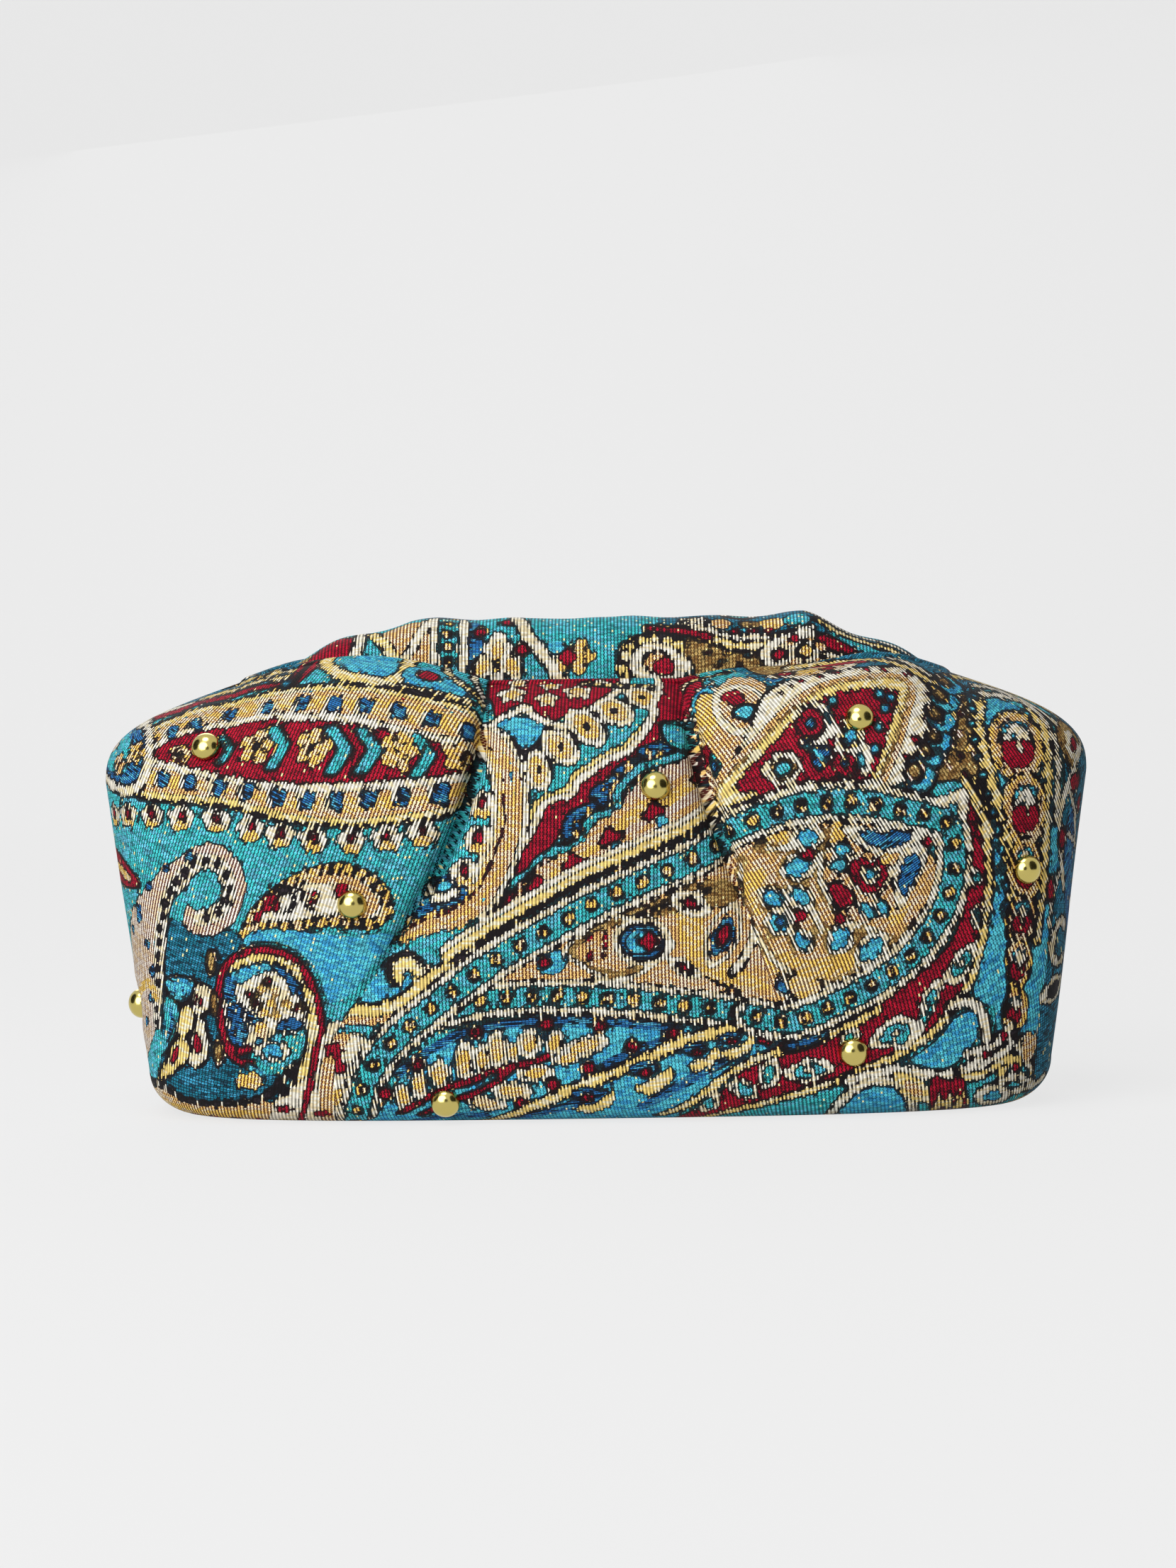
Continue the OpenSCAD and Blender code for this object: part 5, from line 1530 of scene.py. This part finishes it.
# studs: one domed cap, instanced on its places
def domeCap():
    angles = np.linspace(0, pi / 2, studs["rings"])
    rim, rise, r = studs["rim"], studs["height"] - studs["rim"], studs["diameter"] / 2
    profile = [(r * 0.96, 0.0), (r, rim * 0.3), (r, rim * 0.8)]
    profile += [(r * cos(a), rim + rise * sin(a)) for a in angles[:-1]]
    sides = studs["sides"]
    points = [(pr * cos(tau * k / sides), pr * sin(tau * k / sides), pz)
              for pr, pz in profile for k in range(sides)]
    points += [(0, 0, 0), (0, 0, studs["height"])]
    faces = [(low + k, low + (k + 1) % sides, low + sides + (k + 1) % sides, low + sides + k)
             for low in range(0, (len(profile) - 1) * sides, sides) for k in range(sides)]
    low, high, last = len(points) - 2, len(points) - 1, (len(profile) - 1) * sides
    for k in range(sides):
        faces += [(low, (k + 1) % sides, k), (high, last + k, last + (k + 1) % sides)]
    mesh = bpy.data.meshes.new("domeCap")
    mesh.from_pydata((np.array(points) * mm).tolist(), [], faces)
    mesh.shade_smooth()
    return bpy.data.objects.new("domeCap", mesh)


def scatterGroup():
    inputs = [("Places", "Geometry"), ("Cap", "Object"), ("Size", "Float"), ("Finish", "Material")]
    tree, given, result = newGroup("Geometry", "scatteredStuds", inputs, [("Studs", "Geometry")])
    facing = addNode(tree, "GeometryNodeInputNamedAttribute", "facing", data_type="FLOAT_VECTOR")
    turn = addNode(tree, "FunctionNodeAlignRotationToVector", axis="Z")
    feed(tree, turn.inputs["Vector"], facing.outputs[0])
    cap = addNode(tree, "GeometryNodeObjectInfo", given.outputs["Cap"])
    spread = addNode(tree, "GeometryNodeInstanceOnPoints", given.outputs["Places"])
    feed(tree, spread.inputs["Instance"], cap.outputs["Geometry"])
    feed(tree, spread.inputs["Rotation"], turn.outputs[0])
    feed(tree, spread.inputs["Scale"], given.outputs["Size"])
    real = addNode(tree, "GeometryNodeRealizeInstances", spread.outputs[0])
    finish = addNode(tree, "GeometryNodeSetMaterial", real.outputs[0])
    feed(tree, finish.inputs["Material"], given.outputs["Finish"])
    feed(tree, result.inputs[0], finish.outputs[0])
    return tree


def scatterStuds(spots):
    seats, facing = [], []
    for side in (1, -1):
        turn = np.array([side, side, 1])
        for point, n, _, _ in spots:
            seats.append((point - n * studs["seat"]) * turn * mm)
            facing.append(n * turn)
    mesh = bpy.data.meshes.new("studPlaces")
    mesh.from_pydata([tuple(s) for s in seats], [], [])
    attribute = mesh.attributes.new("facing", "FLOAT_VECTOR", "POINT")
    attribute.data.foreach_set("vector", np.array(facing, np.float32).ravel())
    holder = linked("studPlaces", mesh)
    tree, cap = scatterGroup(), domeCap()
    modifier = holder.modifiers.new("scatter", "NODES")
    modifier.node_group = tree
    sockets = {item.name: item.identifier for item in tree.interface.items_tree if item.in_out == "INPUT"}
    modifier[sockets["Cap"]] = cap
    modifier[sockets["Size"]] = 1.0
    modifier[sockets["Finish"]] = brass
    finished = holder.evaluated_get(bpy.context.evaluated_depsgraph_get())
    shown = bpy.data.meshes.new_from_object(finished)
    bpy.data.objects.remove(holder)
    bpy.data.objects.remove(cap)
    shown.shade_smooth()
    return linked("brassStuds", shown)


brassStuds = scatterStuds(spots)
print("studs set:", len(brassStuds.data.polygons), "faces")

for piece, node, slot in ((clothBody, "pleated_body", "body_cloth"), (rolledBand, "top_band", "band_cloth"),
                          (brassStuds, "stud_domes", "stud_brass")):
    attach(piece, "root")
    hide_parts(node)

# floor, light and camera
studio = {
    "pale": (236, 236, 236), "evenness": 0.9, "world": 0.11, "dark": (30, 28, 26), "matt": 0.9,
    "aim": (0, 0, 0.07), "floorFront": -4.0, "floorBack": 1.6, "sweepR": 0.8, "wallH": 5.0, "halfWidth": 6.0,
    # name, place and radius
    "cards": [("frontCard", (0.05, -1.45, 0.3), 0.36), ("rightCard", (1.1, -0.5, 0.5), 0.7),
              ("leftCard", (-1.3, 0.0, 0.6), 0.7)],
    # name, place, size and power
    "lamps": [("frontLamp", (-0.85, -1.6, 0.85), 2.0, 50.0), ("topLamp", (-0.3, -0.4, 1.6), 0.8, 12.0),
              ("backLamp", (-0.2, 2.0, 1.2), 1.6, 13.0)],
}


# 1 for the rays that see the backdrop straight, in polished metal or through glass
def paleRays(tree):
    path = addNode(tree, "ShaderNodeLightPath")
    seen = calc(tree, "MAXIMUM", path.outputs["Is Camera Ray"], path.outputs["Is Glossy Ray"])
    return calc(tree, "MAXIMUM", seen, path.outputs["Is Transmission Ray"])


def mattMaterial(name, colour):
    material, tree, shader = newMaterial(name)
    shader.inputs["Base Color"].default_value = linear(*colour)
    shader.inputs["Roughness"].default_value = studio["matt"]
    return material, tree, shader


def sweepFloor():
    back, r, side = studio["floorBack"], studio["sweepR"], studio["halfWidth"]
    profile = [(studio["floorFront"], 0.0), (back, 0.0)]
    profile += [(back + sin(a) * r, r - cos(a) * r) for a in np.linspace(0.1, pi / 2, 12)]
    profile += [(back + r, studio["wallH"])]
    points = [(x, y, z) for y, z in profile for x in (-side, side)]
    faces = [(2 * i, 2 * i + 1, 2 * i + 3, 2 * i + 2) for i in range(len(profile) - 1)]
    mesh = bpy.data.meshes.new("paleSweep")
    mesh.from_pydata(points, [], faces)
    mesh.shade_smooth()
    material, tree, shader = mattMaterial("palePaper", studio["pale"])
    glow = addNode(tree, "ShaderNodeEmission", linear(*studio["pale"]), 1.0)
    straight = calc(tree, "MULTIPLY", paleRays(tree), studio["evenness"])
    mixed = addNode(tree, "ShaderNodeMixShader", straight, shader.outputs[0], glow.outputs[0])
    feed(tree, tree.nodes["Material Output"].inputs[0], mixed.outputs[0])
    mesh.materials.append(material)
    return linked("paleSweep", mesh)


def turnedToBag(place, axis):
    return (Vector(studio["aim"]) - Vector(place)).to_track_quat(axis, "Y")


def softLamp(name, place, size, power):
    light = bpy.data.lights.new(name, "AREA")
    light.shape, light.size, light.energy = "DISK", size, power
    obj = linked(name, light)
    obj.location = place
    obj.rotation_euler = turnedToBag(place, "-Z").to_euler()
    obj.visible_camera = False


# dark cards, for the dark spot and the dark side that polished studs show
def darkCard(name, place, radius):
    mesh = bpy.data.meshes.new(name)
    turn = turnedToBag(place, "Z")
    rim = [Vector(place) + turn @ Vector((radius * cos(a), radius * sin(a), 0))
           for a in np.linspace(0, tau, 32, endpoint=False)]
    mesh.from_pydata(rim, [], [tuple(range(len(rim)))])
    mesh.materials.append(mattMaterial(name, studio["dark"])[0])
    obj = linked(name, mesh)
    obj.visible_camera = False
    return obj


sweepFloor()
for card in studio["cards"]:
    darkCard(*card)
for lamp in studio["lamps"]:
    softLamp(*lamp)
world = bpy.data.worlds.new("studioWorld")
bpy.context.scene.world = world
world.use_nodes = True
worldTree = world.node_tree
backdrop = worldTree.nodes["Background"]
backdrop.inputs["Color"].default_value = (1, 1, 1, 1)
backdrop.inputs["Strength"].default_value = studio["world"]
paleView = addNode(worldTree, "ShaderNodeBackground", linear(*studio["pale"]), 1.0)
mixedWorld = addNode(
    worldTree, "ShaderNodeMixShader", paleRays(worldTree), backdrop.outputs[0], paleView.outputs[0])
feed(worldTree, worldTree.nodes["World Output"].inputs[0], mixedWorld.outputs[0])

view = {"distance": 1.3, "elevation": 3.0, "azimuth": 0.6, "roll": -0.88, "aim": (-0.00251, 0.0, 0.09888),
        "lens": 128.39, "sensor": 36.0}


def placeCamera():
    data = bpy.data.cameras.new("photoCamera")
    data.sensor_fit, data.sensor_width, data.lens = "HORIZONTAL", view["sensor"], view["lens"]
    camera = linked("photoCamera", data)
    e, a, r = (radians(view[key]) for key in ("elevation", "azimuth", "roll"))
    away = Vector((sin(a) * cos(e), -cos(a) * cos(e), sin(e)))
    right = Vector((cos(a), sin(a), 0))
    up = away.cross(right)
    right, up = right * cos(r) + up * sin(r), up * cos(r) - right * sin(r)
    turn = Matrix((right, up, away)).transposed().to_4x4()
    camera.matrix_world = Matrix.Translation(Vector(view["aim"]) + away * view["distance"]) @ turn
    bpy.context.scene.camera = camera


placeCamera()
bpy.context.scene.view_settings.view_transform = "Standard"
print("stage set")
